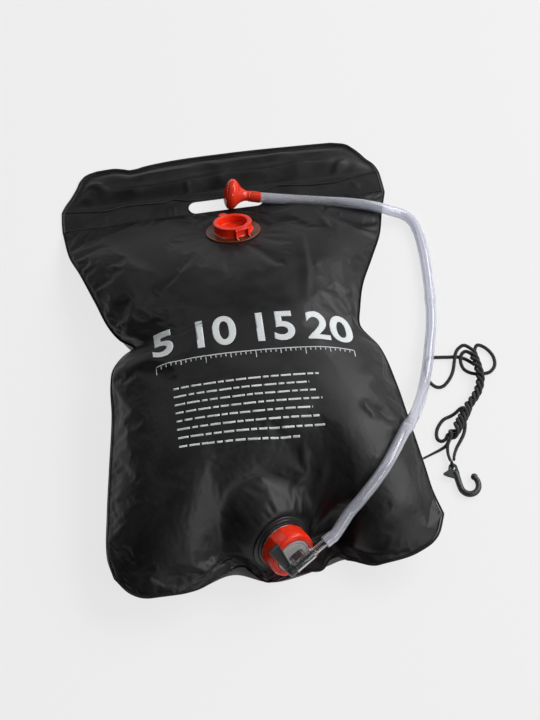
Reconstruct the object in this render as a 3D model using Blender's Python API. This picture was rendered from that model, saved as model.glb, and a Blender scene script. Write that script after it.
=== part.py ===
# Camp shower bag, 20 litres, lying on its back and puffed up with air.
# Metres, +Z up, +Y towards the carrying header, the outlet at -Y, +X to the right of the print.
# The frame's origin is under the middle of the bag, on the ground it lies on.
import math

import bmesh
import bpy
import numpy as np
from mathutils import Matrix, Vector

# Fits
GAP = 0.0003            # between pieces that touch
OVERRUN = 0.004         # how far a cutter runs past what it cuts

# Bag, two sheets of film welded all round
HALF_WIDTH = 0.2015     # flat width is twice this
BODY_TOP_Y = 0.220      # lower weld of the header
BODY_LENGTH = 0.518     # from that weld to the bottom weld, as it lies
FILM = 0.0006
CROWN_HEIGHT = 0.098    # top of the bag over the ground
SEAM_RISE = 0.048       # highest level of the side weld
RISE_SHARE = 0.52       # of the body's length, from the header to the full height
FALL_SHARE = 0.60       # of the body's length, where the bottom end starts to come down
HEM_SHARE = 0.085       # of the body's length, the flat hem under the outlet
BAG_COLUMNS = 20
BAG_ROWS = 32
SIDE_POWER_SHARE = 2.6
SIDE_ROUND_SHARE = 0.60
END_POWER_SHARE = 3.0
END_ROUND_SHARE = 0.58
BELLY_SHARE = 1.25      # over 1 lays a wide flat patch on the ground
DIMPLE_DEPTH_SHARE = 0.42
DIMPLE_HALF_X = 0.062
DIMPLE_HALF_Y = 0.075

# Down the body, out from the middle, and up, as shares of length, half width and seam rise
LEFT_SEAM_SHARES = (
    (0.000, 1.000, 0.000), (0.093, 0.978, 0.290), (0.158, 0.933, 0.560),
    (0.259, 0.864, 0.790), (0.347, 0.799, 0.920), (0.380, 0.749, 0.940),
    (0.407, 0.680, 0.960), (0.421, 0.739, 0.940), (0.452, 0.814, 0.920),
    (0.485, 0.839, 0.900), (0.569, 0.859, 0.880), (0.695, 0.913, 0.830),
    (0.801, 0.958, 0.790), (0.898, 0.993, 0.790), (0.950, 0.978, 0.750),
)
RIGHT_SEAM_SHARES = (
    (0.000, 1.000, 0.000), (0.069, 0.943, 0.150), (0.143, 0.888, 0.330),
    (0.224, 0.794, 0.580), (0.305, 0.695, 0.750), (0.376, 0.640, 0.880),
    (0.421, 0.615, 0.920), (0.490, 0.700, 0.900), (0.585, 0.744, 0.880),
    (0.662, 0.764, 0.830), (0.801, 0.794, 0.790), (0.853, 0.804, 0.770),
    (0.911, 0.834, 0.750),
)
# Place across from -1 to 1, out from the middle, down the body, and up
BOTTOM_SEAM_SHARES = (
    (-0.93, -0.913, 0.985, 0.79), (-0.80, -0.784, 1.000, 0.79), (-0.55, -0.556, 0.996, 0.71),
    (-0.30, -0.328, 0.967, 0.50), (-0.10, -0.139, 0.981, 0.14), (0.06, 0.015, 0.973, 0.04),
    (0.19, 0.139, 0.963, 0.04), (0.32, 0.258, 0.956, 0.17), (0.52, 0.437, 0.996, 0.62),
    (0.78, 0.660, 0.992, 0.73), (0.93, 0.784, 0.963, 0.75),
)

# Header, a welded band with the handle slot and a puffed pocket above it
BAND_WIDTH = 0.031
POCKET_DEPTH = 0.057
POCKET_CROWN = 0.013
POCKET_MARGIN = 0.005   # flat weld round the pocket
CORNER_RUN = 0.060      # how far the top corners are rounded along the top edge
POCKET_COLUMNS = 28
POCKET_ROWS = 8
SLOT_LENGTH = 0.094
SLOT_WIDTH = 0.019
SLOT_X = 0.003
SLOT_ABOVE_WELD = 0.0135
SLOT_CORNER_STEPS = 7

# Filler, a red flanged neck welded to the film with a hinged push-in cap
FILLER_X = 0.002
FILLER_BELOW_WELD = 0.055
FILLER_TILT = math.radians(29.0)
FILLER_LIFT = 0.0008    # underside of the flange over the film
FILLER_FLANGE_RADIUS = 0.0335
FILLER_FLANGE_EDGE = 0.0012
FILLER_FLANGE_ROOT = 0.0024
NECK_RADIUS = 0.0220
NECK_BORE_RADIUS = 0.0204
NECK_HEIGHT = 0.0108
MOUTH_DEPTH = 0.012     # hole through the film under the neck
ROUND_STEPS = 36
EAR_HALF_SPACING = 0.0080
EAR_THICKNESS = 0.0018
EAR_TURN = math.radians(-70.0)   # hinge side, from +X about the neck
HINGE_RADIUS = 0.0246   # hinge pin, out from the neck's axis
HINGE_HEIGHT = 0.0115
EAR_ROUND = 0.0019
PIN_RADIUS = 0.0009
EAR_FOOT_REACH = 0.0305
EAR_FOOT_HEIGHT = 0.0030
CAP_RIM_RADIUS = 0.0236
CAP_RIM_THICKNESS = 0.0024
CAP_PLUG_RADIUS = 0.0199
CAP_PLUG_TIP_RADIUS = 0.0189
CAP_CUP_RADIUS = 0.0178
CAP_PLUG_DEPTH = 0.0085
CAP_FLOOR = 0.0015
TAB_REACH = 0.0068      # pull tab beyond the rim
TAB_HALF_WIDTH = 0.0065
TAB_THICKNESS = 0.0014

# Outlet, a ribbed black spud welded to the film, with a screw nut that holds the tap
OUTLET_FACE = (-0.003, -0.2795, 0.0470)    # middle of the nut's front face
OUTLET_TURN = math.radians(25.0)           # from -Y towards +X
OUTLET_RISE = math.radians(20.5)
BARREL_ROLL = math.radians(12.4)           # barrel over the level line in the nut's face
NUT_FLATS = 12
NUT_HALF_FLATS = 0.0262
NUT_HEIGHT = 0.0220
NUT_LIP = 0.0030
NUT_LIP_RADIUS = 0.0194
NUT_BORE_RADIUS = 0.0231
NUT_CHAMFER = 0.0012
SPUD_NECK_RADIUS = 0.0225
SPUD_BORE_RADIUS = 0.0140
SPUD_FLANGE_RADIUS = 0.0330
SPUD_FLANGE_THICKNESS = 0.0018
SPUD_STEP_RADIUS = 0.0300
SPUD_STEP_HEIGHT = 0.0016
SPUD_COLLAR_RADIUS = 0.0262
SPUD_COLLAR_HEIGHT = 0.0014
WASHER_THICKNESS = 0.0010
WASHER_RADIUS = 0.0250
GASKET_THICKNESS = 0.0016
DISC_FLANGE_RADIUS = 0.0225
DISC_FLANGE_THICKNESS = 0.0030
DISC_PROUD = 0.0006

# Tap, a clear barrel across the nut's face with a black plug turned by a lever
BARREL_STAND_OFF = 0.0140   # barrel's axis in front of the nut's face
BARREL_RADIUS = 0.0060
BARREL_BORE_RADIUS = 0.0048
BARREL_BACK = 0.0080        # open end, behind the stem's axis
BARREL_FRONT = 0.0200
STEM_HALF_LENGTH = 0.0080
STEM_HALF_WIDTH = 0.0034
STEM_SHIFT = 0.0030
STEM_PORT_HALF_LENGTH = 0.0050
STEM_PORT_HALF_WIDTH = 0.0018
SPOUT_RADIUS = 0.0042
SPOUT_BORE_RADIUS = 0.0026
SPOUT_LENGTH = 0.0140
BARB_LENGTH = 0.0116
BARB_ROOT_RADIUS = 0.0038
BARB_CREST_RADIUS = 0.0044
BARB_COUNT = 3
SMALL_STEPS = 24
PLUG_CLEARANCE = 0.0004
PLUG_BORE_RADIUS = 0.0024
PLUG_PORT_HALF_LENGTH = 0.0034
PLUG_PORT_HALF_WIDTH = 0.0014
PLUG_PORT_TURN = math.radians(90.0)  # closed at rest, a quarter turn from the stem's port
TANG_HALF_WIDTH = 0.0026
TANG_LENGTH = 0.0042
RING_TUBE_RADIUS = 0.00055
RING_SIDE_ROOM = 0.0004
RING_SHARES = (0.16, 0.86)  # along the plug, from its hub end
HUB_RADIUS = 0.0058
HUB_LENGTH = 0.0088
LEVER_LENGTH = 0.0365
LEVER_END_HALF_WIDTH = 0.0070
LEVER_ROOT_HALF_WIDTH = 0.0044
LEVER_THICKNESS = 0.0046
LEVER_TIP_THICKNESS = 0.0036
LEVER_LEAN = math.radians(15.0)   # towards the nut, from square to its axis
LEVER_RECESS = 0.0008
LEVER_BORDER = 0.0016
LEVER_EDGE = 0.0007

# Hose
HOSE_RADIUS = 0.0065
HOSE_BORE_RADIUS = 0.0050
HOSE_POINTS = 46
HOSE_CROWDING = 0.045   # how strongly its points gather in the bends

# Shower head, a bell with a snapped-in rose
SPIGOT_LENGTH = 0.0150
SPIGOT_RADIUS = 0.0045
SPIGOT_BORE_RADIUS = 0.0024
HEAD_LENGTH = 0.0320
HEAD_RADIUS = 0.0190
HEAD_WALL = 0.0016
ROSE_WALL = 0.0014
ROSE_STEPS = 24
ROSE_HOLE_RADIUS = 0.0009
ROSE_HOLE_SIDES = 6
ROSE_RINGS = ((1, 0.0), (6, 0.30), (12, 0.56), (15, 0.80))  # count and share of the rose's radius
# Along the bell from the hose's end, and out, as shares of its length and radius
BELL_OUTSIDE_SHARES = (
    (0.00, 0.340), (0.10, 0.335), (0.20, 0.385), (0.33, 0.50), (0.44, 0.66), (0.53, 0.82),
    (0.60, 0.93), (0.67, 0.985), (0.73, 1.0), (0.79, 0.985), (0.835, 0.945),
)
ROSE_DOME_SHARES = ((0.835, 0.900), (0.88, 0.80), (0.93, 0.62), (0.97, 0.40), (0.99, 0.20), (1.0, 0.0))

# Rope and hook
ROPE_RADIUS = 0.0017
TRUNK_RADIUS = 0.0031      # three strands' middles, out from the trunk's middle
TRUNK_FOOT_RADIUS = 0.0043 # four strands' middles, in its lower end
TRUNK_LAY = 0.0251         # length of one turn of the strands
TRUNK_TURN_POINTS = 8
ROPE_CROWDING = 0.0035     # how strongly points gather in the bends
KNOT_RADIUS = 0.0039
KNOT_TUBE_RADIUS = 0.0014
HOOK_RADIUS = 0.0036
HOOK_TIP_RADIUS = 0.0040
EYE_HALF_WIDTH = 0.0052
EYE_THICKNESS = 0.0032
EYE_HOLE_RADIUS = 0.0026
EYE_WALL = 0.0030


def clear_scene():
    for item in list(bpy.data.objects):
        bpy.data.objects.remove(item)


def finish(name, colour, roughness, alpha=1.0, metallic=0.0):
    made = bpy.data.materials.new(name)
    made.use_nodes = True
    shader = made.node_tree.nodes["Principled BSDF"]
    shader.inputs["Base Color"].default_value = (*colour, 1.0)
    shader.inputs["Roughness"].default_value = roughness
    shader.inputs["Metallic"].default_value = metallic
    shader.inputs["Alpha"].default_value = alpha
    return made


def add_object(name, mesh_data, frame, material):
    made = bpy.data.objects.new(name, mesh_data)
    made.matrix_world = frame
    bpy.context.scene.collection.objects.link(made)
    if material:
        mesh_data.materials.append(material)
    return made


def mesh_from(name, points, faces, smooth=True, sharp=math.radians(40.0)):
    # A closed mesh from points and faces, its faces turned outwards
    shape = bmesh.new()
    corners = [shape.verts.new(p) for p in points]
    for face in faces:
        shape.faces.new([corners[i] for i in face])
    bmesh.ops.recalc_face_normals(shape, faces=shape.faces)
    made = bpy.data.meshes.new(name)
    shape.to_mesh(made)
    shape.free()
    if smooth:
        made.shade_smooth()
        made.set_sharp_from_angle(angle=sharp)
    return made


def turned(name, profile, steps=ROUND_STEPS):
    # A closed (radius, height) outline turned about Z; a corner at radius 0 becomes one pole point
    points, rings = [], []
    for radius, height in profile:
        if radius <= 0.0:
            rings.append([len(points)] * steps)
            points.append((0.0, 0.0, height))
            continue
        rings.append(list(range(len(points), len(points) + steps)))
        for k in range(steps):
            turn = 2.0 * math.pi * k / steps
            points.append((radius * math.cos(turn), radius * math.sin(turn), height))
    faces = []
    for i, ring in enumerate(rings):
        after = rings[(i + 1) % len(rings)]
        for k in range(steps):
            n = (k + 1) % steps
            corners = [ring[k], ring[n], after[n], after[k]]
            corners = [c for j, c in enumerate(corners) if c != corners[j - 1]]
            if len(set(corners)) > 2:
                faces.append(corners)
    return mesh_from(name, points, faces)


def prism(name, outline, low, high):
    # A straight-sided block over a flat outline
    count = len(outline)
    points = [(x, y, low) for x, y in outline] + [(x, y, high) for x, y in outline]
    faces = [list(range(count)), list(range(count, 2 * count))]
    faces += [[i, (i + 1) % count, (i + 1) % count + count, i + count] for i in range(count)]
    return mesh_from(name, points, faces)


def stadium(half_length, half_width, steps):
    # Outline of a slot with round ends, along X
    straight = half_length - half_width
    outline = []
    for side in (1.0, -1.0):
        for k in range(steps + 1):
            turn = math.pi * (k / steps - 0.5)
            outline.append((side * (straight + half_width * math.cos(turn)),
                            side * half_width * math.sin(turn)))
    return outline


def tool(name, mesh_data, frame):
    # A cutter, which is no piece of the bag
    made = add_object(name, mesh_data, frame, None)
    made.hide_render = True
    made.hide_viewport = False
    made.display_type = "WIRE"
    return made


def combine(target, mesh_data, frame, operation="DIFFERENCE"):
    # Cuts a shape out of a piece, or joins it on
    other = tool(target.name + "_" + mesh_data.name, mesh_data, frame)
    step = target.modifiers.new(mesh_data.name, "BOOLEAN")
    step.operation = operation
    step.solver = "EXACT"
    step.object = other
    return target


def frame_of(origin, x_axis, y_axis, z_axis):
    made = Matrix.Identity(4)
    for column, axis in enumerate((x_axis, y_axis, z_axis)):
        for row in range(3):
            made[row][column] = axis[row]
    made.translation = origin
    return made


def along_x(frame):
    # The same place, with the turned pieces' axis along the frame's own X
    return frame @ Matrix(((0, 0, 1, 0), (1, 0, 0, 0), (0, 1, 0, 0), (0, 0, 0, 1)))


def smooth_route(route, count, crowding=0.0):
    # Points on a smooth curve through the route's own points, closer together where it bends;
    # crowding is the length of straight hose that takes as many points as one radian of bend
    given = np.array(route, float)
    ends = np.vstack([2 * given[0] - given[1], given, 2 * given[-1] - given[-2]])
    fine = []
    for i in range(1, len(ends) - 2):
        p0, p1, p2, p3 = ends[i - 1:i + 3]
        for t in np.linspace(0.0, 1.0, 24, endpoint=False):
            fine.append(0.5 * (2 * p1 + (p2 - p0) * t + (2 * p0 - 5 * p1 + 4 * p2 - p3) * t ** 2
                               + (3 * p1 - p0 - 3 * p2 + p3) * t ** 3))
    fine.append(given[-1])
    fine = np.array(fine)
    steps = np.diff(fine, axis=0)
    lengths = np.linalg.norm(steps, axis=1)
    heading = steps / lengths[:, None]
    bends = np.arccos(np.clip(np.sum(heading[1:] * heading[:-1], axis=1), -1.0, 1.0))
    effort = lengths + crowding * np.concatenate([[0.0], bends])
    run = np.concatenate([[0.0], np.cumsum(effort)])
    even = np.linspace(0.0, run[-1], count)
    return np.stack([np.interp(even, run, fine[:, k]) for k in range(3)], axis=1), lengths.sum()


def tube(name, points, radius, sides, material):
    # A cord: one open line with a round bevel and closed ends
    line = bpy.data.curves.new(name, "CURVE")
    line.dimensions = "3D"
    line.bevel_depth = radius
    line.bevel_resolution = sides
    line.use_fill_caps = True
    run = line.splines.new("POLY")
    run.points.add(len(points) - 1)
    for spot, place in zip(run.points, points):
        spot.co = (*place, 1.0)
    made = bpy.data.objects.new(name, line)
    bpy.context.scene.collection.objects.link(made)
    if material:
        line.materials.append(material)
    return made


def as_mesh(curve_object):
    # The cord's surface as a plain mesh
    graph = bpy.context.evaluated_depsgraph_get()
    made = bpy.data.meshes.new_from_object(curve_object.evaluated_get(graph))
    bpy.data.objects.remove(curve_object)
    return made


def seam_curve(table, at):
    rows = np.array(table)
    return [smooth_step_table(rows[:, 0], rows[:, k], at) for k in range(1, rows.shape[1])]


def smooth_step_table(keys, values, at):
    # Cubic through a table, its slopes limited so that it never overshoots
    steps = np.diff(values) / np.diff(keys)
    slopes = np.concatenate([[steps[0]], (steps[1:] + steps[:-1]) / 2, [steps[-1]]])
    slopes[1:-1][steps[1:] * steps[:-1] <= 0] = 0.0
    i = int(np.clip(np.searchsorted(keys, at) - 1, 0, len(steps) - 1))
    width = keys[i + 1] - keys[i]
    t = (at - keys[i]) / width
    return (values[i] * (1 + 2 * t) * (1 - t) ** 2 + values[i + 1] * t * t * (3 - 2 * t)
            + width * (slopes[i] * t * (1 - t) ** 2 - slopes[i + 1] * t * t * (1 - t)))


def seam_point(side, down):
    # A point of the side weld; side is -1 or 1 and down runs from the header to the corner
    table = LEFT_SEAM_SHARES if side < 0 else RIGHT_SEAM_SHARES
    at = down * table[-1][0]
    out, up = seam_curve(table, at)
    return np.array([side * out * HALF_WIDTH, BODY_TOP_Y - at * BODY_LENGTH, up * SEAM_RISE])


def bottom_point(across):
    ends = [seam_point(side, 1.0) for side in (-1, 1)]
    rows = [(-1.0, ends[0][0] / HALF_WIDTH, (BODY_TOP_Y - ends[0][1]) / BODY_LENGTH, ends[0][2] / SEAM_RISE)]
    rows += list(BOTTOM_SEAM_SHARES)
    rows += [(1.0, ends[1][0] / HALF_WIDTH, (BODY_TOP_Y - ends[1][1]) / BODY_LENGTH, ends[1][2] / SEAM_RISE)]
    out, down, up = seam_curve(rows, across)
    return np.array([out * HALF_WIDTH, BODY_TOP_Y - down * BODY_LENGTH, up * SEAM_RISE])


def weld_plane(across, down):
    # The sheet between the welds, without any bulge: a patch stretched in its four edges
    share = (across + 1) / 2
    left, right = seam_point(-1, down), seam_point(1, down)
    top = np.array([across * HALF_WIDTH, BODY_TOP_Y, 0.0])
    bottom = bottom_point(across)
    corners = [seam_point(-1, 0.0), seam_point(1, 0.0), seam_point(-1, 1.0), seam_point(1, 1.0)]
    flat = ((1 - share) * (1 - down) * corners[0] + share * (1 - down) * corners[1]
            + (1 - share) * down * corners[2] + share * down * corners[3])
    return (1 - share) * left + share * right + (1 - down) * top + down * bottom - flat


def crown_level(down, end):
    # Height of the bag's middle line over the ground, from the header down
    rise = math.sin(math.pi / 2 * min(1.0, down / RISE_SHARE))
    fall = max(0.0, (down - FALL_SHARE) / (end - FALL_SHARE))
    return CROWN_HEIGHT * rise * max(0.0, 1.0 - fall ** END_POWER_SHARE) ** END_ROUND_SHARE


def film_levels(across, down):
    # Plan place, outer level of the front sheet, and outer level of the rear sheet
    x, y, level = weld_plane(across, down)
    off_x = (x - OUTLET_FACE[0]) / DIMPLE_HALF_X
    off_y = (y - OUTLET_FACE[1]) / DIMPLE_HALF_Y
    end = 1.0 - HEM_SHARE * math.exp(-off_x * off_x)
    side = (1.0 - min(1.0, abs(across)) ** SIDE_POWER_SHARE) ** SIDE_ROUND_SHARE
    rise = max(0.0, crown_level(down, end) - level) * side
    rise *= 1.0 - DIMPLE_DEPTH_SHARE * math.exp(-off_x * off_x - off_y * off_y)
    edge = (1.0 - abs(across) ** 4.0) * (1.0 - down ** 10.0)
    level += FILM + GAP
    belly = level * min(1.0, BELLY_SHARE * edge)
    return x, y, level + rise + FILM, max(0.0, level - FILM - GAP - belly)


def sheet_solid(name, bottom_of, top_of, columns, rows, place_of):
    # A closed solid between two levels over a grid of places
    points, faces = [], []
    grid = [[place_of(i, j) for i in range(columns + 1)] for j in range(rows + 1)]
    wide = columns + 1
    for level_of in (bottom_of, top_of):
        for j in range(rows + 1):
            for i in range(wide):
                points.append((grid[j][i][0], grid[j][i][1], level_of(grid[j][i])))
    over = wide * (rows + 1)
    for base in (0, over):
        for j in range(rows):
            for i in range(columns):
                a = base + j * wide + i
                faces.append([a, a + 1, a + 1 + wide])
                faces.append([a, a + 1 + wide, a + wide])
    edge = list(range(columns)) + [j * wide + columns for j in range(rows)]
    edge += [rows * wide + i for i in range(columns, 0, -1)] + [j * wide for j in range(rows, 0, -1)]
    for k, start in enumerate(edge):
        stop = edge[(k + 1) % len(edge)]
        faces.append([start, stop, stop + over, start + over])
    return mesh_from(name, points, faces, sharp=math.radians(60.0))


def bag_place(i, j):
    # Rows are closer together towards the bottom end, which comes down steeply
    across = 2.0 * i / BAG_COLUMNS - 1.0
    across = math.sin(math.pi / 2 * across) * 0.35 + across * 0.65
    share = j / BAG_ROWS
    down = share + 0.10 * math.sin(math.pi * share) * share
    return film_levels(across, down)


def make_bag(black, smoke):
    front = add_object(
        "bag_front",
        sheet_solid("front", lambda p: p[3] + FILM + GAP, lambda p: p[2], BAG_COLUMNS, BAG_ROWS, bag_place),
        Matrix.Identity(4), black)
    add_object(
        "bag_rear",
        sheet_solid("rear", lambda p: p[3], lambda p: p[3] + FILM, BAG_COLUMNS, BAG_ROWS, bag_place),
        Matrix.Identity(4), smoke)
    return front


def header_place(i, j):
    # Plan place and crown share of the header's upper side, from its lower weld to its top edge
    across = 2.0 * i / POCKET_COLUMNS - 1.0
    above = BODY_TOP_Y + GAP
    if j == 0:
        return across * HALF_WIDTH, above, 0.0
    share = (j - 1) / POCKET_ROWS
    bow = math.sin(math.pi / 2 * share)
    half = HALF_WIDTH - CORNER_RUN * (1.0 - math.sqrt(max(0.0, 1.0 - bow * bow)))
    y = BODY_TOP_Y + BAND_WIDTH + POCKET_DEPTH * bow
    inset_y = min(POCKET_DEPTH * bow, POCKET_DEPTH * (1.0 - bow)) / POCKET_MARGIN
    inset_x = half * (1.0 - abs(across)) / POCKET_MARGIN
    near = min(inset_x, inset_y)
    swell = 0.0 if near <= 1.0 else math.sin(math.pi * (0.06 + 0.88 * bow)) ** 0.6
    return across * half, y, swell * min(1.0, (near - 1.0) / 2.0)


def make_header(black):
    thick = FILM + GAP + FILM
    shape = sheet_solid("header_film", lambda p: 0.0, lambda p: thick + POCKET_CROWN * p[2],
                        POCKET_COLUMNS, POCKET_ROWS + 1, header_place)
    header = add_object("header", shape, Matrix.Identity(4), black)
    slot = prism("slot", stadium(SLOT_LENGTH / 2, SLOT_WIDTH / 2, SLOT_CORNER_STEPS), -OVERRUN, thick + OVERRUN)
    place = Matrix.Translation((SLOT_X, BODY_TOP_Y + SLOT_ABOVE_WELD, 0.0))
    combine(header, slot, place)
    return header


def filler_frame():
    # On the film below the header, its axis tipped back with the slope
    down = FILLER_BELOW_WELD / BODY_LENGTH
    across = FILLER_X / HALF_WIDTH
    for _ in range(3):
        x, y, level, _ = film_levels(across, down)
        across += (FILLER_X - x) / HALF_WIDTH
    axis = Vector((0.0, math.sin(FILLER_TILT), math.cos(FILLER_TILT)))
    level_line = Vector((1.0, 0.0, 0.0))
    return frame_of(Vector((x, y, level)) + axis * FILLER_LIFT, level_line, axis.cross(level_line), axis)


def make_filler(front, red, stain):
    frame = filler_frame()
    pocket = turned("flange_pocket", [
        (0.0, -GAP), (FILLER_FLANGE_RADIUS + GAP, -GAP),
        (FILLER_FLANGE_RADIUS + GAP, NECK_HEIGHT + OVERRUN), (0.0, NECK_HEIGHT + OVERRUN)])
    combine(front, pocket, frame)
    mouth = turned("mouth", [(0.0, -MOUTH_DEPTH), (CAP_CUP_RADIUS, -MOUTH_DEPTH),
                             (CAP_CUP_RADIUS, OVERRUN), (0.0, OVERRUN)], SMALL_STEPS)
    combine(front, mouth, frame)
    root = NECK_RADIUS + FILLER_FLANGE_ROOT
    flange = add_object("filler_flange", turned("flange", [
        (NECK_BORE_RADIUS, 0.0), (FILLER_FLANGE_RADIUS, 0.0),
        (FILLER_FLANGE_RADIUS, FILLER_FLANGE_EDGE), (root, FILLER_FLANGE_ROOT),
        (NECK_RADIUS, FILLER_FLANGE_ROOT + FILLER_FLANGE_EDGE), (NECK_RADIUS, NECK_HEIGHT),
        (NECK_BORE_RADIUS, NECK_HEIGHT)]), frame, stain)
    hinge = frame @ Matrix.Rotation(EAR_TURN, 4, "Z")
    wall = (NECK_RADIUS + NECK_BORE_RADIUS) / 2
    for side in (-1, 1):
        # Side view of one hinge ear, along the neck's wall with a foot on the flange
        outline = [(wall, FILLER_FLANGE_EDGE / 2), (EAR_FOOT_REACH, FILLER_FLANGE_EDGE / 2),
                   (EAR_FOOT_REACH - EAR_ROUND, EAR_FOOT_HEIGHT), (HINGE_RADIUS + EAR_ROUND, EAR_FOOT_HEIGHT + EAR_ROUND)]
        for k in range(7):
            turn = math.pi * k / 6
            outline.append((HINGE_RADIUS + EAR_ROUND * math.cos(turn), HINGE_HEIGHT + EAR_ROUND * math.sin(turn)))
        outline += [(HINGE_RADIUS - EAR_ROUND, NECK_HEIGHT - EAR_ROUND), (wall, NECK_HEIGHT - EAR_ROUND)]
        middle = side * EAR_HALF_SPACING
        ear = prism("ear", outline, middle - EAR_THICKNESS / 2, middle + EAR_THICKNESS / 2)
        standing = hinge @ Matrix(((1, 0, 0, 0), (0, 0, -1, 0), (0, 1, 0, 0), (0, 0, 0, 1)))
        combine(flange, ear, standing, "UNION")
    sleeve = turned("pin_hole", [
        (0.0, -EAR_HALF_SPACING - OVERRUN), (PIN_RADIUS + GAP, -EAR_HALF_SPACING - OVERRUN),
        (PIN_RADIUS + GAP, EAR_HALF_SPACING + OVERRUN), (0.0, EAR_HALF_SPACING + OVERRUN)], 12)
    axle = hinge @ Matrix.Translation((HINGE_RADIUS, 0.0, HINGE_HEIGHT)) @ Matrix.Rotation(math.pi / 2, 4, "X")
    combine(flange, sleeve, axle)
    make_cap(frame, hinge, axle, red)
    return frame


def make_cap(frame, hinge, axle, red):
    # The cap's own frame is on its hinge pin
    place = axle.copy()
    to_local = place.inverted() @ frame
    seat = NECK_HEIGHT + GAP
    low = seat - CAP_PLUG_DEPTH
    top = seat + CAP_RIM_THICKNESS
    edge = CAP_RIM_THICKNESS / 4
    shape = turned("cap", [
        (0.0, low), (CAP_PLUG_TIP_RADIUS, low), (CAP_PLUG_RADIUS, seat),
        (CAP_RIM_RADIUS, seat), (CAP_RIM_RADIUS, top - edge), (CAP_RIM_RADIUS - edge, top),
        (CAP_CUP_RADIUS + edge, top), (CAP_CUP_RADIUS, top - edge),
        (CAP_CUP_RADIUS - edge, low + CAP_FLOOR), (0.0, low + CAP_FLOOR)])
    shape.transform(to_local)
    cap = add_object("filler_cap", shape, place, red)
    # The rim is cut straight where it faces the ears
    near = HINGE_RADIUS - EAR_ROUND - GAP - GAP
    reach = EAR_HALF_SPACING + EAR_THICKNESS
    chord = prism("chord", [(near, -reach), (CAP_RIM_RADIUS + OVERRUN, -reach),
                            (CAP_RIM_RADIUS + OVERRUN, reach), (near, reach)], seat - GAP, top + OVERRUN)
    combine(cap, chord, hinge)
    inner = EAR_HALF_SPACING - EAR_THICKNESS / 2 - GAP
    outline = [(near - OVERRUN / 2, seat), (NECK_RADIUS + GAP, seat), (HINGE_RADIUS, HINGE_HEIGHT - EAR_ROUND * 0.8)]
    for k in range(1, 7):
        turn = math.pi * (k / 6 - 0.5)
        outline.append((HINGE_RADIUS + EAR_ROUND * 0.8 * math.cos(turn), HINGE_HEIGHT + EAR_ROUND * 0.8 * math.sin(turn)))
    outline += [(near - OVERRUN / 2, HINGE_HEIGHT + EAR_ROUND * 0.8)]
    tongue = prism("tongue", outline, -inner, inner)
    standing = hinge @ Matrix(((1, 0, 0, 0), (0, 0, -1, 0), (0, 1, 0, 0), (0, 0, 0, 1)))
    combine(cap, tongue, standing, "UNION")
    half = EAR_HALF_SPACING + EAR_THICKNESS / 2
    pin = turned("pin", [(0.0, -half), (PIN_RADIUS, -half), (PIN_RADIUS, half), (0.0, half)], 12)
    combine(cap, pin, axle, "UNION")
    tab = prism("tab", [(-CAP_RIM_RADIUS - TAB_REACH, -TAB_HALF_WIDTH * 0.6), (-CAP_CUP_RADIUS - GAP, -TAB_HALF_WIDTH),
                        (-CAP_CUP_RADIUS - GAP, TAB_HALF_WIDTH), (-CAP_RIM_RADIUS - TAB_REACH, TAB_HALF_WIDTH * 0.6)],
                seat + CAP_RIM_THICKNESS - TAB_THICKNESS - edge, seat + CAP_RIM_THICKNESS - edge)
    combine(cap, tab, hinge, "UNION")


def outlet_frame():
    # On the nut's front face: X along the tap's barrel, Z out of the bag
    out = Vector((math.sin(OUTLET_TURN) * math.cos(OUTLET_RISE), -math.cos(OUTLET_TURN) * math.cos(OUTLET_RISE),
                  math.sin(OUTLET_RISE)))
    level = Vector((math.cos(OUTLET_TURN), math.sin(OUTLET_TURN), 0.0))
    upright = out.cross(level)
    barrel = level * math.cos(BARREL_ROLL) + upright * math.sin(BARREL_ROLL)
    return frame_of(Vector(OUTLET_FACE), barrel, out.cross(barrel), out)


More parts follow.
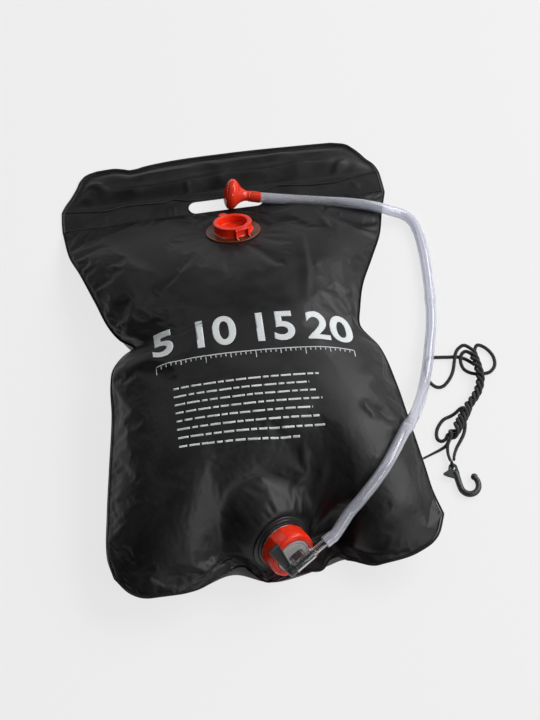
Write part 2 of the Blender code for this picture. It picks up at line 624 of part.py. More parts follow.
def make_outlet(front, black, red, pale, rubber):
    frame = outlet_frame()
    nut_back = -NUT_HEIGHT
    washer_back = nut_back - GAP - WASHER_THICKNESS
    collar_top = washer_back - GAP
    step_top = collar_top - SPUD_COLLAR_HEIGHT
    flange_top = step_top - SPUD_STEP_HEIGHT
    base = flange_top - SPUD_FLANGE_THICKNESS
    disc_back = -NUT_LIP - GAP - DISC_FLANGE_THICKNESS
    gasket_back = disc_back - GAP - GASKET_THICKNESS
    neck_top = gasket_back - GAP
    wide = SPUD_FLANGE_RADIUS + GAP
    reach = BARREL_STAND_OFF + LEVER_LENGTH
    pocket = turned("outlet_pocket", [(0.0, base - GAP), (wide, base - GAP), (wide + reach / 2, reach), (0.0, reach)])
    combine(front, pocket, frame)
    add_object("outlet_spud", turned("spud", [
        (SPUD_BORE_RADIUS, base), (SPUD_FLANGE_RADIUS, base), (SPUD_FLANGE_RADIUS, flange_top),
        (SPUD_STEP_RADIUS, flange_top), (SPUD_STEP_RADIUS, step_top), (SPUD_COLLAR_RADIUS, step_top),
        (SPUD_COLLAR_RADIUS, collar_top), (SPUD_NECK_RADIUS, collar_top), (SPUD_NECK_RADIUS, neck_top),
        (SPUD_BORE_RADIUS, neck_top)]), frame, black)
    add_object("outlet_washer", turned("washer", [
        (SPUD_NECK_RADIUS + GAP, washer_back), (WASHER_RADIUS, washer_back),
        (WASHER_RADIUS, nut_back - GAP), (SPUD_NECK_RADIUS + GAP, nut_back - GAP)]), frame, pale)
    nut = add_object("outlet_nut", nut_shape(), frame, red)
    cavity = turned("nut_cavity", [(0.0, nut_back - OVERRUN), (NUT_BORE_RADIUS, nut_back - OVERRUN),
                                   (NUT_BORE_RADIUS, -NUT_LIP), (0.0, -NUT_LIP)])
    combine(nut, cavity, frame)
    hole = turned("nut_hole", [(0.0, -NUT_LIP - OVERRUN), (NUT_LIP_RADIUS, -NUT_LIP - OVERRUN),
                               (NUT_LIP_RADIUS, OVERRUN), (0.0, OVERRUN)])
    combine(nut, hole, frame)
    add_object("nut_gasket", turned("gasket", [
        (SPUD_BORE_RADIUS, gasket_back), (DISC_FLANGE_RADIUS, gasket_back),
        (DISC_FLANGE_RADIUS, disc_back - GAP), (SPUD_BORE_RADIUS, disc_back - GAP)]), frame, rubber)
    return frame, disc_back


def nut_shape():
    # A turned block with flats, chamfered at its front and back edges
    flat = NUT_HALF_FLATS
    corner = flat / math.cos(math.pi / NUT_FLATS)
    rings = [(flat - NUT_CHAMFER, -NUT_HEIGHT), (corner, -NUT_HEIGHT + NUT_CHAMFER),
             (corner, -NUT_CHAMFER), (flat - NUT_CHAMFER, 0.0)]
    points, faces = [], []
    for radius, height in rings:
        for k in range(NUT_FLATS):
            turn = 2 * math.pi * (k + 0.5) / NUT_FLATS
            points.append((radius * math.cos(turn), radius * math.sin(turn), height))
    for j in range(len(rings) - 1):
        for k in range(NUT_FLATS):
            n = (k + 1) % NUT_FLATS
            faces.append([j * NUT_FLATS + k, j * NUT_FLATS + n, (j + 1) * NUT_FLATS + n, (j + 1) * NUT_FLATS + k])
    faces.append(list(range(NUT_FLATS)))
    faces.append([3 * NUT_FLATS + k for k in range(NUT_FLATS)])
    return mesh_from("nut", points, faces, sharp=math.radians(20.0))


def barbed(start, stop, root, crest, count):
    # Outline points of a hose barb from its foot to its tip, each ridge steep towards the foot
    pitch = (stop - start) / count
    points = []
    for k in range(count):
        points.append((root, start + pitch * k))
        points.append((crest, start + pitch * (k + 0.35)))
    points.append((root, stop))
    return points


def make_tap(frame, disc_back, clear, black, rubber):
    body = add_object("tap_body", turned("disc", [
        (0.0, disc_back), (DISC_FLANGE_RADIUS, disc_back), (DISC_FLANGE_RADIUS, -NUT_LIP - GAP),
        (NUT_LIP_RADIUS - GAP, -NUT_LIP - GAP), (NUT_LIP_RADIUS - GAP, DISC_PROUD), (0.0, DISC_PROUD)]),
        frame, clear)
    stem = prism("stem", [(x + STEM_SHIFT, y) for x, y in stadium(STEM_HALF_LENGTH, STEM_HALF_WIDTH, 6)],
                 DISC_PROUD / 2, BARREL_STAND_OFF)
    combine(body, stem, frame, "UNION")
    axis = frame @ Matrix.Translation((0.0, 0.0, BARREL_STAND_OFF))
    line = along_x(axis)
    spout = BARREL_FRONT + SPOUT_LENGTH
    tip = spout + BARB_LENGTH
    slope = BARREL_RADIUS - SPOUT_RADIUS
    outside = [(0.0, -BARREL_BACK), (BARREL_RADIUS, -BARREL_BACK), (BARREL_RADIUS, BARREL_FRONT - slope),
               (SPOUT_RADIUS, BARREL_FRONT), (SPOUT_RADIUS, spout)]
    outside += barbed(spout, tip, BARB_ROOT_RADIUS, BARB_CREST_RADIUS, BARB_COUNT)
    outside += [(0.0, tip)]
    combine(body, turned("barrel", outside, SMALL_STEPS), line, "UNION")
    seat = BARREL_FRONT - slope - slope
    bore = turned("tap_bore", [(0.0, -BARREL_BACK - OVERRUN), (BARREL_BORE_RADIUS, -BARREL_BACK - OVERRUN),
                               (BARREL_BORE_RADIUS, seat), (SPOUT_BORE_RADIUS, seat), (SPOUT_BORE_RADIUS, tip + OVERRUN),
                               (0.0, tip + OVERRUN)], SMALL_STEPS)
    combine(body, bore, line)
    port = [(x + STEM_SHIFT, y) for x, y in stadium(STEM_PORT_HALF_LENGTH, STEM_PORT_HALF_WIDTH, 4)]
    combine(body, prism("stem_port", port, disc_back - OVERRUN, BARREL_STAND_OFF), frame)
    make_plug(line, axis, seat, black, rubber)
    make_lever(axis, black)
    return axis, spout


def make_plug(line, axis, seat, black, rubber):
    radius = BARREL_BORE_RADIUS - PLUG_CLEARANCE
    back, front = -BARREL_BACK - GAP, seat - GAP
    long = front - back
    groove = radius - RING_TUBE_RADIUS * 2 - GAP
    ring_middle = groove + GAP + RING_TUBE_RADIUS
    half = RING_TUBE_RADIUS + RING_SIDE_ROOM
    outline = [(0.0, back), (radius, back)]
    spots = [back + long * share for share in RING_SHARES]
    for spot in spots:
        outline += [(radius, spot - half), (groove, spot - half), (groove, spot + half), (radius, spot + half)]
    outline += [(radius, front), (0.0, front)]
    plug = add_object("tap_plug", turned("plug", outline, SMALL_STEPS), line, black)
    tang = prism("tang", [(-TANG_HALF_WIDTH, -TANG_HALF_WIDTH), (TANG_HALF_WIDTH, -TANG_HALF_WIDTH),
                          (TANG_HALF_WIDTH, TANG_HALF_WIDTH), (-TANG_HALF_WIDTH, TANG_HALF_WIDTH)],
                 back - TANG_LENGTH, back + RING_TUBE_RADIUS)
    combine(plug, tang, line, "UNION")
    waterway = turned("waterway", [(0.0, STEM_SHIFT - PLUG_PORT_HALF_LENGTH), (PLUG_BORE_RADIUS, STEM_SHIFT - PLUG_PORT_HALF_LENGTH),
                                   (PLUG_BORE_RADIUS, front + OVERRUN), (0.0, front + OVERRUN)], 16)
    combine(plug, waterway, line)
    port = [(x + STEM_SHIFT, y) for x, y in stadium(PLUG_PORT_HALF_LENGTH, PLUG_PORT_HALF_WIDTH, 5)]
    across = axis @ Matrix.Rotation(-PLUG_PORT_TURN, 4, "X")
    combine(plug, prism("plug_port", port, -radius - OVERRUN, radius + OVERRUN), across)
    for name, spot in zip(("plug_ring_hub", "plug_ring_spout"), spots):
        ring = []
        for k in range(6):
            turn = 2 * math.pi * (k + 0.5) / 6
            ring.append((ring_middle + RING_TUBE_RADIUS * math.cos(turn), spot + RING_TUBE_RADIUS * math.sin(turn)))
        add_object(name, turned("ring", ring, 16), line, rubber)


def make_lever(axis, black):
    # The lever's own frame lies on the barrel's axis, its Y along the lever
    place = axis @ Matrix.Rotation(-LEVER_LEAN, 4, "X")
    start = -BARREL_BACK - GAP - GAP
    stop = start - HUB_LENGTH
    edge = HUB_RADIUS / 4
    hub = turned("hub", [(0.0, stop), (HUB_RADIUS - edge - edge, stop), (HUB_RADIUS - edge / 2, stop + edge / 2),
                         (HUB_RADIUS, stop + edge + edge), (HUB_RADIUS, start), (0.0, start)], SMALL_STEPS)
    turn_in = Matrix(((0, 0, 1, 0), (1, 0, 0, 0), (0, 1, 0, 0), (0, 0, 0, 1)))
    hub.transform(turn_in)
    lever = add_object("tap_lever", hub, place, black)
    middle = (start + stop) / 2 - LEVER_EDGE
    half_root, half_tip = LEVER_THICKNESS / 2, LEVER_TIP_THICKNESS / 2
    points = []
    for y, half_x, half_z in ((0.0, LEVER_ROOT_HALF_WIDTH * 0.9, half_root), (LEVER_LENGTH, LEVER_END_HALF_WIDTH, half_tip)):
        points += [(middle - half_x, y, -half_z), (middle + half_x, y, -half_z),
                   (middle + half_x, y, half_z), (middle - half_x, y, half_z)]
    arm = mesh_from("arm", points, [[0, 1, 2, 3], [4, 5, 6, 7], [0, 1, 5, 4], [1, 2, 6, 5], [2, 3, 7, 6], [3, 0, 4, 7]])
    soften(arm, LEVER_EDGE)
    combine(lever, arm, place, "UNION")
    # The panel sunk into the lever's outer face, inside a plain border
    near, far = HUB_RADIUS + LEVER_BORDER, LEVER_LENGTH - LEVER_BORDER
    growth = (LEVER_END_HALF_WIDTH - LEVER_ROOT_HALF_WIDTH) / LEVER_LENGTH
    panel = []
    for y in (near, far):
        half_x = LEVER_ROOT_HALF_WIDTH + growth * y - LEVER_BORDER
        top = half_root + (half_tip - half_root) * y / LEVER_LENGTH
        panel += [(middle - half_x, y, top - LEVER_RECESS), (middle + half_x, y, top - LEVER_RECESS),
                  (middle + half_x, y, top + OVERRUN), (middle - half_x, y, top + OVERRUN)]
    combine(lever, mesh_from("panel", panel, [[0, 1, 2, 3], [4, 5, 6, 7], [0, 1, 5, 4], [1, 2, 6, 5],
                                              [2, 3, 7, 6], [3, 0, 4, 7]]), place)
    room = TANG_HALF_WIDTH + GAP
    socket = prism("tang_socket", [(-room, -room), (room, -room), (room, room), (-room, room)],
                   -BARREL_BACK - GAP - TANG_LENGTH - GAP, start + OVERRUN)
    combine(lever, socket, along_x(axis))


def soften(mesh_data, width):
    shape = bmesh.new()
    shape.from_mesh(mesh_data)
    bmesh.ops.bevel(shape, geom=shape.edges[:], offset=width, segments=2, profile=0.5, affect="EDGES")
    bmesh.ops.recalc_face_normals(shape, faces=shape.faces)
    shape.to_mesh(mesh_data)
    shape.free()


# Places along the middle of the hose between its two straight ends, chosen by hand
HOSE_ROUTE = (
    (0.0620, -0.2500, 0.0690), (0.0770, -0.2390, 0.0760), (0.0940, -0.2250, 0.0830), (0.1100, -0.2090, 0.0870),
    (0.1250, -0.1890, 0.0860), (0.1400, -0.1660, 0.0780), (0.1560, -0.1420, 0.0620), (0.1710, -0.1130, 0.0380),
    (0.1835, -0.0850, 0.0190), (0.1930, -0.0620, 0.0122), (0.2010, -0.0400, 0.0110), (0.2070, -0.0200, 0.0105),
    (0.2160, 0.0100, 0.0080), (0.2230, 0.0450, 0.0067), (0.2280, 0.0850, 0.0067), (0.2305, 0.1200, 0.0067),
    (0.2300, 0.1480, 0.0067), (0.2260, 0.1660, 0.0070), (0.2170, 0.1760, 0.0090), (0.2030, 0.1800, 0.0140),
    (0.1880, 0.1840, 0.0190), (0.1660, 0.1900, 0.0225), (0.1420, 0.1980, 0.0210), (0.1180, 0.2070, 0.0165),
    (0.0950, 0.2150, 0.0135), (0.0720, 0.2210, 0.0130),
)
HEAD_END = (0.0330, 0.2290, 0.0165)     # end of the hose at the shower head
HEAD_APEX = (-0.0005, 0.2360, 0.0205)   # front of the rose


def make_hose(axis, spout, clear):
    # The two ends run straight over the barbs; the bore is cut out as a plainer tube
    start = axis @ Vector((spout + GAP, 0.0, 0.0))
    end, apex = Vector(HEAD_END), Vector(HEAD_APEX)
    along = (apex - end).normalized()
    over = (0.0, 0.5, 1.0)  # shares of the straight stretch over each barb
    first = [axis @ Vector((spout + GAP + SPIGOT_LENGTH * share, 0.0, 0.0)) for share in over]
    last = [end - along * SPIGOT_LENGTH * share for share in reversed(over)]
    run, length = smooth_route([*map(tuple, first), *HOSE_ROUTE, *map(tuple, last)], HOSE_POINTS, HOSE_CROWDING)
    run[:, 2] = np.maximum(run[:, 2], HOSE_RADIUS)  # the ground carries it
    outer = as_mesh(tube("hose_outside", run, HOSE_RADIUS, 4, None))
    hose = add_object("hose", outer, Matrix.Identity(4), clear)
    before = Vector(run[0]) - (Vector(run[1]) - Vector(run[0])).normalized() * OVERRUN
    after = Vector(run[-1]) + (Vector(run[-1]) - Vector(run[-2])).normalized() * OVERRUN
    bore = as_mesh(tube("hose_inside", [before, *run, after], HOSE_BORE_RADIUS, 3, None))
    bore.name = "hose_bore"
    combine(hose, bore, Matrix.Identity(4))
    print("hose length", round(length, 4))
    return end, along


def make_head(end, along, red):
    side = Vector((0.0, 0.0, 1.0)).cross(along).normalized()
    frame = frame_of(end + along * GAP, side, along.cross(side), along)
    outside = [(share_out * HEAD_RADIUS, share * HEAD_LENGTH) for share, share_out in BELL_OUTSIDE_SHARES]
    mouth = ROSE_DOME_SHARES[0][0] * HEAD_LENGTH
    inside = [(max(SPIGOT_BORE_RADIUS, radius - HEAD_WALL), height) for radius, height in outside if height < mouth]
    ledge = mouth - ROSE_WALL - ROSE_WALL
    seat_radius = ROSE_DOME_SHARES[0][1] * HEAD_RADIUS + GAP
    inside = [(radius, height) for radius, height in inside if height < ledge - GAP]
    profile = [(SPIGOT_BORE_RADIUS, -SPIGOT_LENGTH)]
    profile += list(reversed(barbed(-GAP, -SPIGOT_LENGTH, BARB_ROOT_RADIUS, BARB_CREST_RADIUS, BARB_COUNT)))
    profile += outside
    profile += [(seat_radius, mouth), (seat_radius, ledge - GAP), (seat_radius - HEAD_WALL, ledge - GAP)]
    profile += list(reversed(inside))
    add_object("head_bell", turned("bell", profile, ROSE_STEPS), frame, red)
    dome = [(share_out * HEAD_RADIUS, share * HEAD_LENGTH) for share, share_out in ROSE_DOME_SHARES]
    under = [(max(0.0, radius - ROSE_WALL * 0.4), height - ROSE_WALL) for radius, height in dome]
    rose = add_object("head_rose", turned("rose", [
        (dome[0][0] - ROSE_WALL, ledge), (dome[0][0], ledge), *dome, *reversed(under[1:]),
        ], ROSE_STEPS), frame, red)
    # One mesh holds all the spray holes, side by side
    points, faces = [], []
    for count, share in ROSE_RINGS:
        for k in range(count):
            turn = 2 * math.pi * k / count
            x, y = share * seat_radius * math.cos(turn), share * seat_radius * math.sin(turn)
            base = len(points)
            for height in (ledge - OVERRUN, HEAD_LENGTH + OVERRUN):
                for n in range(ROSE_HOLE_SIDES):
                    around = 2 * math.pi * n / ROSE_HOLE_SIDES
                    points.append((x + ROSE_HOLE_RADIUS * math.cos(around), y + ROSE_HOLE_RADIUS * math.sin(around), height))
            faces.append([base + n for n in range(ROSE_HOLE_SIDES)])
            faces.append([base + ROSE_HOLE_SIDES + n for n in range(ROSE_HOLE_SIDES)])
            for n in range(ROSE_HOLE_SIDES):
                after = (n + 1) % ROSE_HOLE_SIDES
                faces.append([base + n, base + after, base + ROSE_HOLE_SIDES + after, base + ROSE_HOLE_SIDES + n])
    combine(rose, mesh_from("spray_holes", points, faces), frame)


# Middle of the bundled rope from its top loops to its foot, chosen by hand
TRUNK_ROUTE = (
    (0.2560, -0.0300, 0.0060), (0.2565, -0.0400, 0.0080), (0.2570, -0.0500, 0.0096), (0.2575, -0.0610, 0.0096),
    (0.2570, -0.0720, 0.0070), (0.2515, -0.0850, 0.0052), (0.2435, -0.0955, 0.0050), (0.2350, -0.1045, 0.0050),
    (0.2285, -0.1140, 0.0059), (0.2220, -0.1230, 0.0063), (0.2140, -0.1330, 0.0063), (0.2055, -0.1420, 0.0063),
)
# Free stretches of the two cords, chosen by hand in the order in which they run
HOOK_RIGHT_ROUTE = (
    (0.2024, -0.1716, 0.0056), (0.2050, -0.1640, 0.0040), (0.2100, -0.1550, 0.0026), (0.2165, -0.1465, 0.0020),
    (0.2220, -0.1385, 0.0022), (0.2252, -0.1305, 0.0036),
)
RIGHT_LOOP_ROUTE = (
    (0.2635, -0.0255, 0.0060), (0.2710, -0.0265, 0.0036), (0.2772, -0.0330, 0.0022), (0.2805, -0.0430, 0.0019),
    (0.2790, -0.0540, 0.0019), (0.2720, -0.0615, 0.0019), (0.2640, -0.0630, 0.0019), (0.2560, -0.0620, 0.0019),
    (0.2480, -0.0590, 0.0019), (0.2420, -0.0530, 0.0024), (0.2400, -0.0450, 0.0044), (0.2415, -0.0375, 0.0062),
    (0.2455, -0.0322, 0.0054), (0.2500, -0.0308, 0.0046),
)
FOOT_LOOP_ROUTE = (
    (0.1990, -0.1440, 0.0060), (0.1940, -0.1450, 0.0046), (0.1906, -0.1405, 0.0028), (0.1912, -0.1325, 0.0019),
    (0.1955, -0.1240, 0.0019), (0.2030, -0.1165, 0.0019), (0.2115, -0.1135, 0.0026), (0.2180, -0.1120, 0.0068),
    (0.2235, -0.1100, 0.0118), (0.2280, -0.1110, 0.0134),
)
TAIL_ROUTE = (
    (0.1985, -0.1505, 0.0020), (0.1910, -0.1545, 0.0019), (0.1830, -0.1575, 0.0019), (0.1760, -0.1600, 0.0019),
    (0.1690, -0.1625, 0.0019),
)
HOOK_LEFT_ROUTE = (
    (0.1984, -0.1716, 0.0056), (0.1978, -0.1650, 0.0050), (0.1982, -0.1580, 0.0056), (0.2000, -0.1510, 0.0074),
)
LEFT_LOOP_ROUTE = (
    (0.2490, -0.0245, 0.0086), (0.2415, -0.0265, 0.0076), (0.2360, -0.0330, 0.0066), (0.2325, -0.0430, 0.0044),
    (0.2285, -0.0540, 0.0022), (0.2220, -0.0640, 0.0019), (0.2130, -0.0720, 0.0019), (0.2050, -0.0720, 0.0019),
    (0.1990, -0.0650, 0.0019), (0.1960, -0.0540, 0.0019), (0.1960, -0.0440, 0.0019), (0.1995, -0.0350, 0.0019),
    (0.2070, -0.0315, 0.0019), (0.2180, -0.0325, 0.0019), (0.2280, -0.0340, 0.0019), (0.2370, -0.0350, 0.0019),
    (0.2450, -0.0385, 0.0019), (0.2510, -0.0435, 0.0019), (0.2560, -0.0490, 0.0019),
)
# Turn of each strand about the trunk's middle, above and in its foot, as shares of a full turn
STRAND_SHARES = ((0.0, 0.0), (0.667, 0.5), (0.333, 0.25), (0.75, 0.75))
FOOT_SHARES = (0.60, 0.69)      # along the trunk, where it goes from three strands to four
TOP_SHARE = 0.03                # where the strands come together below the top loops
LEAVE_SHARE = 0.800             # where the strand to the hook's right side leaves
JOIN_SHARE = 0.727              # where the foot's loop comes back in


def trunk_strand(index, start, stop):
    # Places along one strand of the trunk between two shares of its length, in that order
    axis, length = smooth_route(TRUNK_ROUTE, 160)
    turns = length / TRUNK_LAY
    count = max(2, round(abs(stop - start) * turns * TRUNK_TURN_POINTS))
    places = []
    for share in np.linspace(start, stop, count):
        at = share * (len(axis) - 1)
        i = min(int(at), len(axis) - 2)
        middle = axis[i] + (axis[i + 1] - axis[i]) * (at - i)
        heading = axis[i + 1] - axis[i]
        side = np.cross(heading, (0.0, 0.0, 1.0))
        side /= np.linalg.norm(side)
        above = np.cross(side, heading)
        above /= np.linalg.norm(above)
        foot = np.clip((share - FOOT_SHARES[0]) / (FOOT_SHARES[1] - FOOT_SHARES[0]), 0.0, 1.0)
        radius = TRUNK_RADIUS + (TRUNK_FOOT_RADIUS - TRUNK_RADIUS) * foot
        upper, lower = STRAND_SHARES[index]
        turn = 2 * math.pi * (turns * (share - 1.0) + upper + (lower - upper) * foot)
        places.append(middle + radius * (math.cos(turn) * side + math.sin(turn) * above))
    return [tuple(p) for p in places]


def least_gap(run, other=None, radius=ROPE_RADIUS):
    # Least clear distance between two cords, or of one cord to itself, on points along them
    fine = resampled(run)
    if other is None:
        apart = np.linalg.norm(fine[:, None] - fine[None], axis=2)
        along = np.concatenate([[0.0], np.cumsum(np.linalg.norm(np.diff(fine, axis=0), axis=1))])
        near = np.abs(along[:, None] - along[None]) < 8 * radius
        apart[near] = 1.0
    else:
        apart = np.linalg.norm(fine[:, None] - resampled(other)[None], axis=2)
    spot = np.unravel_index(np.argmin(apart), apart.shape)
    return apart.min() - 2 * radius, fine[spot[0]]


def resampled(run):
    run = np.array([tuple(p) for p in run])
    along = np.concatenate([[0.0], np.cumsum(np.linalg.norm(np.diff(run, axis=0), axis=1))])
    even = np.linspace(0.0, along[-1], 900)
    return np.stack([np.interp(even, along, run[:, k]) for k in range(3)], axis=1)


def make_rope(black):
    # Two cords twisted together: one runs from the hook round the loops to the bare tail,
    # the other from the hook up to the loop that lies under the hose
    hook_cord = [*HOOK_RIGHT_ROUTE, *trunk_strand(1, LEAVE_SHARE, TOP_SHARE), *RIGHT_LOOP_ROUTE,
                 *trunk_strand(0, TOP_SHARE, 1.0), *FOOT_LOOP_ROUTE, *trunk_strand(3, JOIN_SHARE, 1.0), *TAIL_ROUTE]
    side_cord = [*HOOK_LEFT_ROUTE, *trunk_strand(2, 1.0, TOP_SHARE), *LEFT_LOOP_ROUTE]
    runs = []
    for name, route, count in (("rope_tail", hook_cord, 100), ("rope_loop", side_cord, 72)):
        run, length = smooth_route(route, count, ROPE_CROWDING)
        run[:, 2] = np.maximum(run[:, 2], ROPE_RADIUS)  # the ground carries it
        tube(name, run, ROPE_RADIUS, 2, black)
        runs.append(run)
        gap, spot = least_gap(run)
        print(name, "length", round(length, 4), "least gap to itself", round(gap, 5), np.round(spot, 4))
    gap, spot = least_gap(*runs)
    print("least gap between the cords", round(gap, 5), np.round(spot, 4))


# Middle of the hook from its eye to its tip, as shares of its length on the ground
HOOK_EYE = (0.1990, -0.1815, 0.0054)
HOOK_LENGTH = 0.036
HOOK_SHARES = (
    (0.03, -0.16, -0.02), (0.07, -0.36, -0.045), (0.085, -0.60, -0.045), (0.125, -0.80, -0.045), (0.24, -0.93, -0.045),
    (0.40, -0.965, -0.045), (0.56, -0.90, -0.045), (0.66, -0.74, -0.04), (0.665, -0.55, -0.035), (0.60, -0.40, -0.03),
)
BARB_SHARES = ((-0.09, 0.02), (-0.10, -0.045), (-0.32, -0.10), (-0.33, -0.15), (0.0, -0.33), (0.13, -0.20))


def make_hook(black):
    eye = Vector(HOOK_EYE)
    route = [eye + Vector(shares) * HOOK_LENGTH for shares in HOOK_SHARES]
    run, _ = smooth_route(route, 22)
    rod = as_mesh(tube("hook_rod", run, HOOK_RADIUS, 2, None))
    rod.name = "rod"
    place = Matrix.Translation(eye)
    half = EYE_THICKNESS / 2
    reach = EYE_HOLE_RADIUS + EYE_WALL
    outline = []
    for k in range(9):
        turn = math.pi * k / 8
        outline.append((EYE_HALF_WIDTH * math.cos(turn), reach * math.sin(turn)))
    outline += [(share_x * HOOK_LENGTH, share_y * HOOK_LENGTH) for share_x, share_y in BARB_SHARES[1:]]
    hook = add_object("hook", prism("eye", outline, -half, half), place, black)
    combine(hook, rod, Matrix.Identity(4), "UNION")
    tip = bmesh.new()
    bmesh.ops.create_uvsphere(tip, u_segments=14, v_segments=8, radius=HOOK_TIP_RADIUS)
    ball = bpy.data.meshes.new("tip")
    tip.to_mesh(ball)
    tip.free()
    combine(hook, ball, Matrix.Translation(Vector(run[-1])), "UNION")
    hole = turned("hole", [(0.0, -half - OVERRUN), (EYE_HOLE_RADIUS, -half - OVERRUN),
                           (EYE_HOLE_RADIUS, half + OVERRUN), (0.0, half + OVERRUN)], 16)
    combine(hook, hole, place)
    ring = []
    for k in range(6):
        turn = 2 * math.pi * (k + 0.5) / 6
        ring.append((KNOT_RADIUS + KNOT_TUBE_RADIUS * math.cos(turn), KNOT_TUBE_RADIUS * math.sin(turn)))
    wall = eye + Vector((0.0, EYE_HOLE_RADIUS + EYE_WALL / 2, 0.0))
    across = Matrix.Translation(wall) @ Matrix.Rotation(math.pi / 2, 4, "Y")
    add_object("hook_knot", turned("knot", ring, 16), across, black)


def main():
    clear_scene()
    black = finish("black_film", (0.02, 0.02, 0.022), 0.42)
    smoke = finish("smoke_film", (0.10, 0.10, 0.11), 0.35)
    red = finish("red_vinyl", (0.72, 0.045, 0.018), 0.30)
    stain = finish("red_brown_flange", (0.30, 0.035, 0.015), 0.30)
    moulded = finish("black_moulding", (0.018, 0.018, 0.020), 0.35)
    pale = finish("pale_washer", (0.55, 0.54, 0.52), 0.40)
    rubber = finish("black_rubber", (0.015, 0.015, 0.015), 0.70)
    clear = finish("clear_vinyl", (0.55, 0.56, 0.66), 0.12, 0.45)
    cord = finish("black_cord", (0.02, 0.02, 0.02), 0.85)
    front = make_bag(black, smoke)
    make_header(black)
    make_filler(front, red, stain)
    frame, disc_back = make_outlet(front, moulded, red, pale, rubber)
    axis, spout = make_tap(frame, disc_back, clear, moulded, rubber)
    end, along = make_hose(axis, spout, clear)
    make_head(end, along, red)
    make_rope(cord)
    make_hook(moulded)


main()
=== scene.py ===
import math

import bmesh
import bpy
import numpy as np
from mathutils import Matrix, Vector, noise
from mathutils.bvhtree import BVHTree


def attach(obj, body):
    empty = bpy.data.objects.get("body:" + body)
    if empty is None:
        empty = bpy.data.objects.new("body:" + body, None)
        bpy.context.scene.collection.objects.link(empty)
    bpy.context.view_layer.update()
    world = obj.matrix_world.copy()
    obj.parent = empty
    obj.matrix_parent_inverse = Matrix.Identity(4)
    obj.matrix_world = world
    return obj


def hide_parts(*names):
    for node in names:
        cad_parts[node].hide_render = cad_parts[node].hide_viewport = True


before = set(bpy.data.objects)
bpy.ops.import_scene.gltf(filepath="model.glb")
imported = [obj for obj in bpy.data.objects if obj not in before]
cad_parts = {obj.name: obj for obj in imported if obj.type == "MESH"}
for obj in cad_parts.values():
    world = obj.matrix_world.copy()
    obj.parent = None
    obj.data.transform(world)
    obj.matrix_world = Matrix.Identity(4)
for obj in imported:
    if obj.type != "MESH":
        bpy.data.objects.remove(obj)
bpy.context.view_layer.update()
print("frame loaded,", len(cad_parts), "CAD nodes")


def linked(name, data):
    made = bpy.data.objects.new(name, data)
    bpy.context.scene.collection.objects.link(made)
    return made


def frameOf(origin, *axes):
    made = Matrix(axes).transposed().to_4x4()
    made.translation = origin
    return made


# camera, as the picture was taken; angles in degrees
cameraSetup = {
    "azimuth": -10.5, "elevation": 58.0, "roll": 1.0, "distance": 2.010, "lens": 85.0, "target": (0.019, -0.002, 0.0),
    "clip": (0.05, 60.0),
}


def makeCamera(s):
    a, e, r = (math.radians(s[k]) for k in ("azimuth", "elevation", "roll"))
    back = Vector((math.sin(a) * math.cos(e), -math.cos(a) * math.cos(e), math.sin(e)))
    right = Vector((math.cos(a), math.sin(a), 0.0))
    up = back.cross(right)
    camera = linked("photoCamera", bpy.data.cameras.new("photoCamera"))
    camera.data.lens = s["lens"]
    camera.data.clip_start, camera.data.clip_end = s["clip"]
    camera.matrix_world = frameOf(Vector(s["target"]) + back * s["distance"], right * math.cos(r) + up * math.sin(r),
                                  up * math.cos(r) - right * math.sin(r), back)
    bpy.context.scene.camera = camera


makeCamera(cameraSetup)


# mesh helpers
def shaded(piece, degrees):
    # smooth but for edges sharper than the angle
    piece.data.shade_smooth()
    piece.data.set_sharp_from_angle(angle=math.radians(degrees))
    return piece


def newPiece(name, points, faces, material, smooth=40.0, fixNormals=True):
    data = bpy.data.meshes.new(name)
    data.from_pydata([tuple(map(float, p)) for p in points], [], faces)
    if fixNormals:
        shape = bmesh.new()
        shape.from_mesh(data)
        bmesh.ops.recalc_face_normals(shape, faces=shape.faces)
        if shape.calc_volume(signed=True) < 0:
            bmesh.ops.reverse_faces(shape, faces=shape.faces)
        shape.to_mesh(data)
        shape.free()
    if material:
        data.materials.append(material)
    piece = linked(name, data)
    return shaded(piece, smooth) if smooth else piece


def settle(piece, body, slot, *nodes):
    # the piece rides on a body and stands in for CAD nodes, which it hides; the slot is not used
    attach(piece, body)
    if nodes:
        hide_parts(*nodes)
    return piece


def placed(piece, place):
    piece.data.transform(place)
    piece.data.update()
    return piece


def evaluated(piece):
    graph = bpy.context.evaluated_depsgraph_get()
    return bpy.data.meshes.new_from_object(piece.evaluated_get(graph), preserve_all_data_layers=True, depsgraph=graph)


def bake(piece):
    # turns the piece with its modifiers into a plain mesh
    made = evaluated(piece)
    piece.modifiers.clear()
    old, piece.data = piece.data, made
    made.name = piece.name
    if old.users == 0:
        bpy.data.meshes.remove(old)
    return piece


def coordinates(piece):
    return np.array([v.co for v in piece.data.vertices])


def arc(radius, steps, start, keys):
    # places on a circle, every steps-th part of a half turn, from a start in half turns
    turns = [math.pi * (k / steps + start) for k in keys]
    return [(radius * math.cos(turn), radius * math.sin(turn)) for turn in turns]


def circle(radius, steps):
    return arc(radius, steps / 2, 0.0, range(steps))


def rounded(profile, radius):
    # rounds the corners of a closed (radius, height) outline in three steps; corners on the axis stay
    points, made, cuts = [np.array(p, float) for p in profile], [], 3
    for i, here in enumerate(points):
        if here[0] <= 1e-9:
            made.append(tuple(here))
            continue
        before, after = points[i - 1] - here, points[(i + 1) % len(points)] - here
        first, second = np.linalg.norm(before), np.linalg.norm(after)
        reach = min(radius, first * 0.45, second * 0.45)
        start, stop = here + before / first * reach, here + after / second * reach
        for t in (k / cuts for k in range(cuts + 1)):
            made.append(tuple((1 - t) ** 2 * start + 2 * t * (1 - t) * here + t * t * stop))
    return made


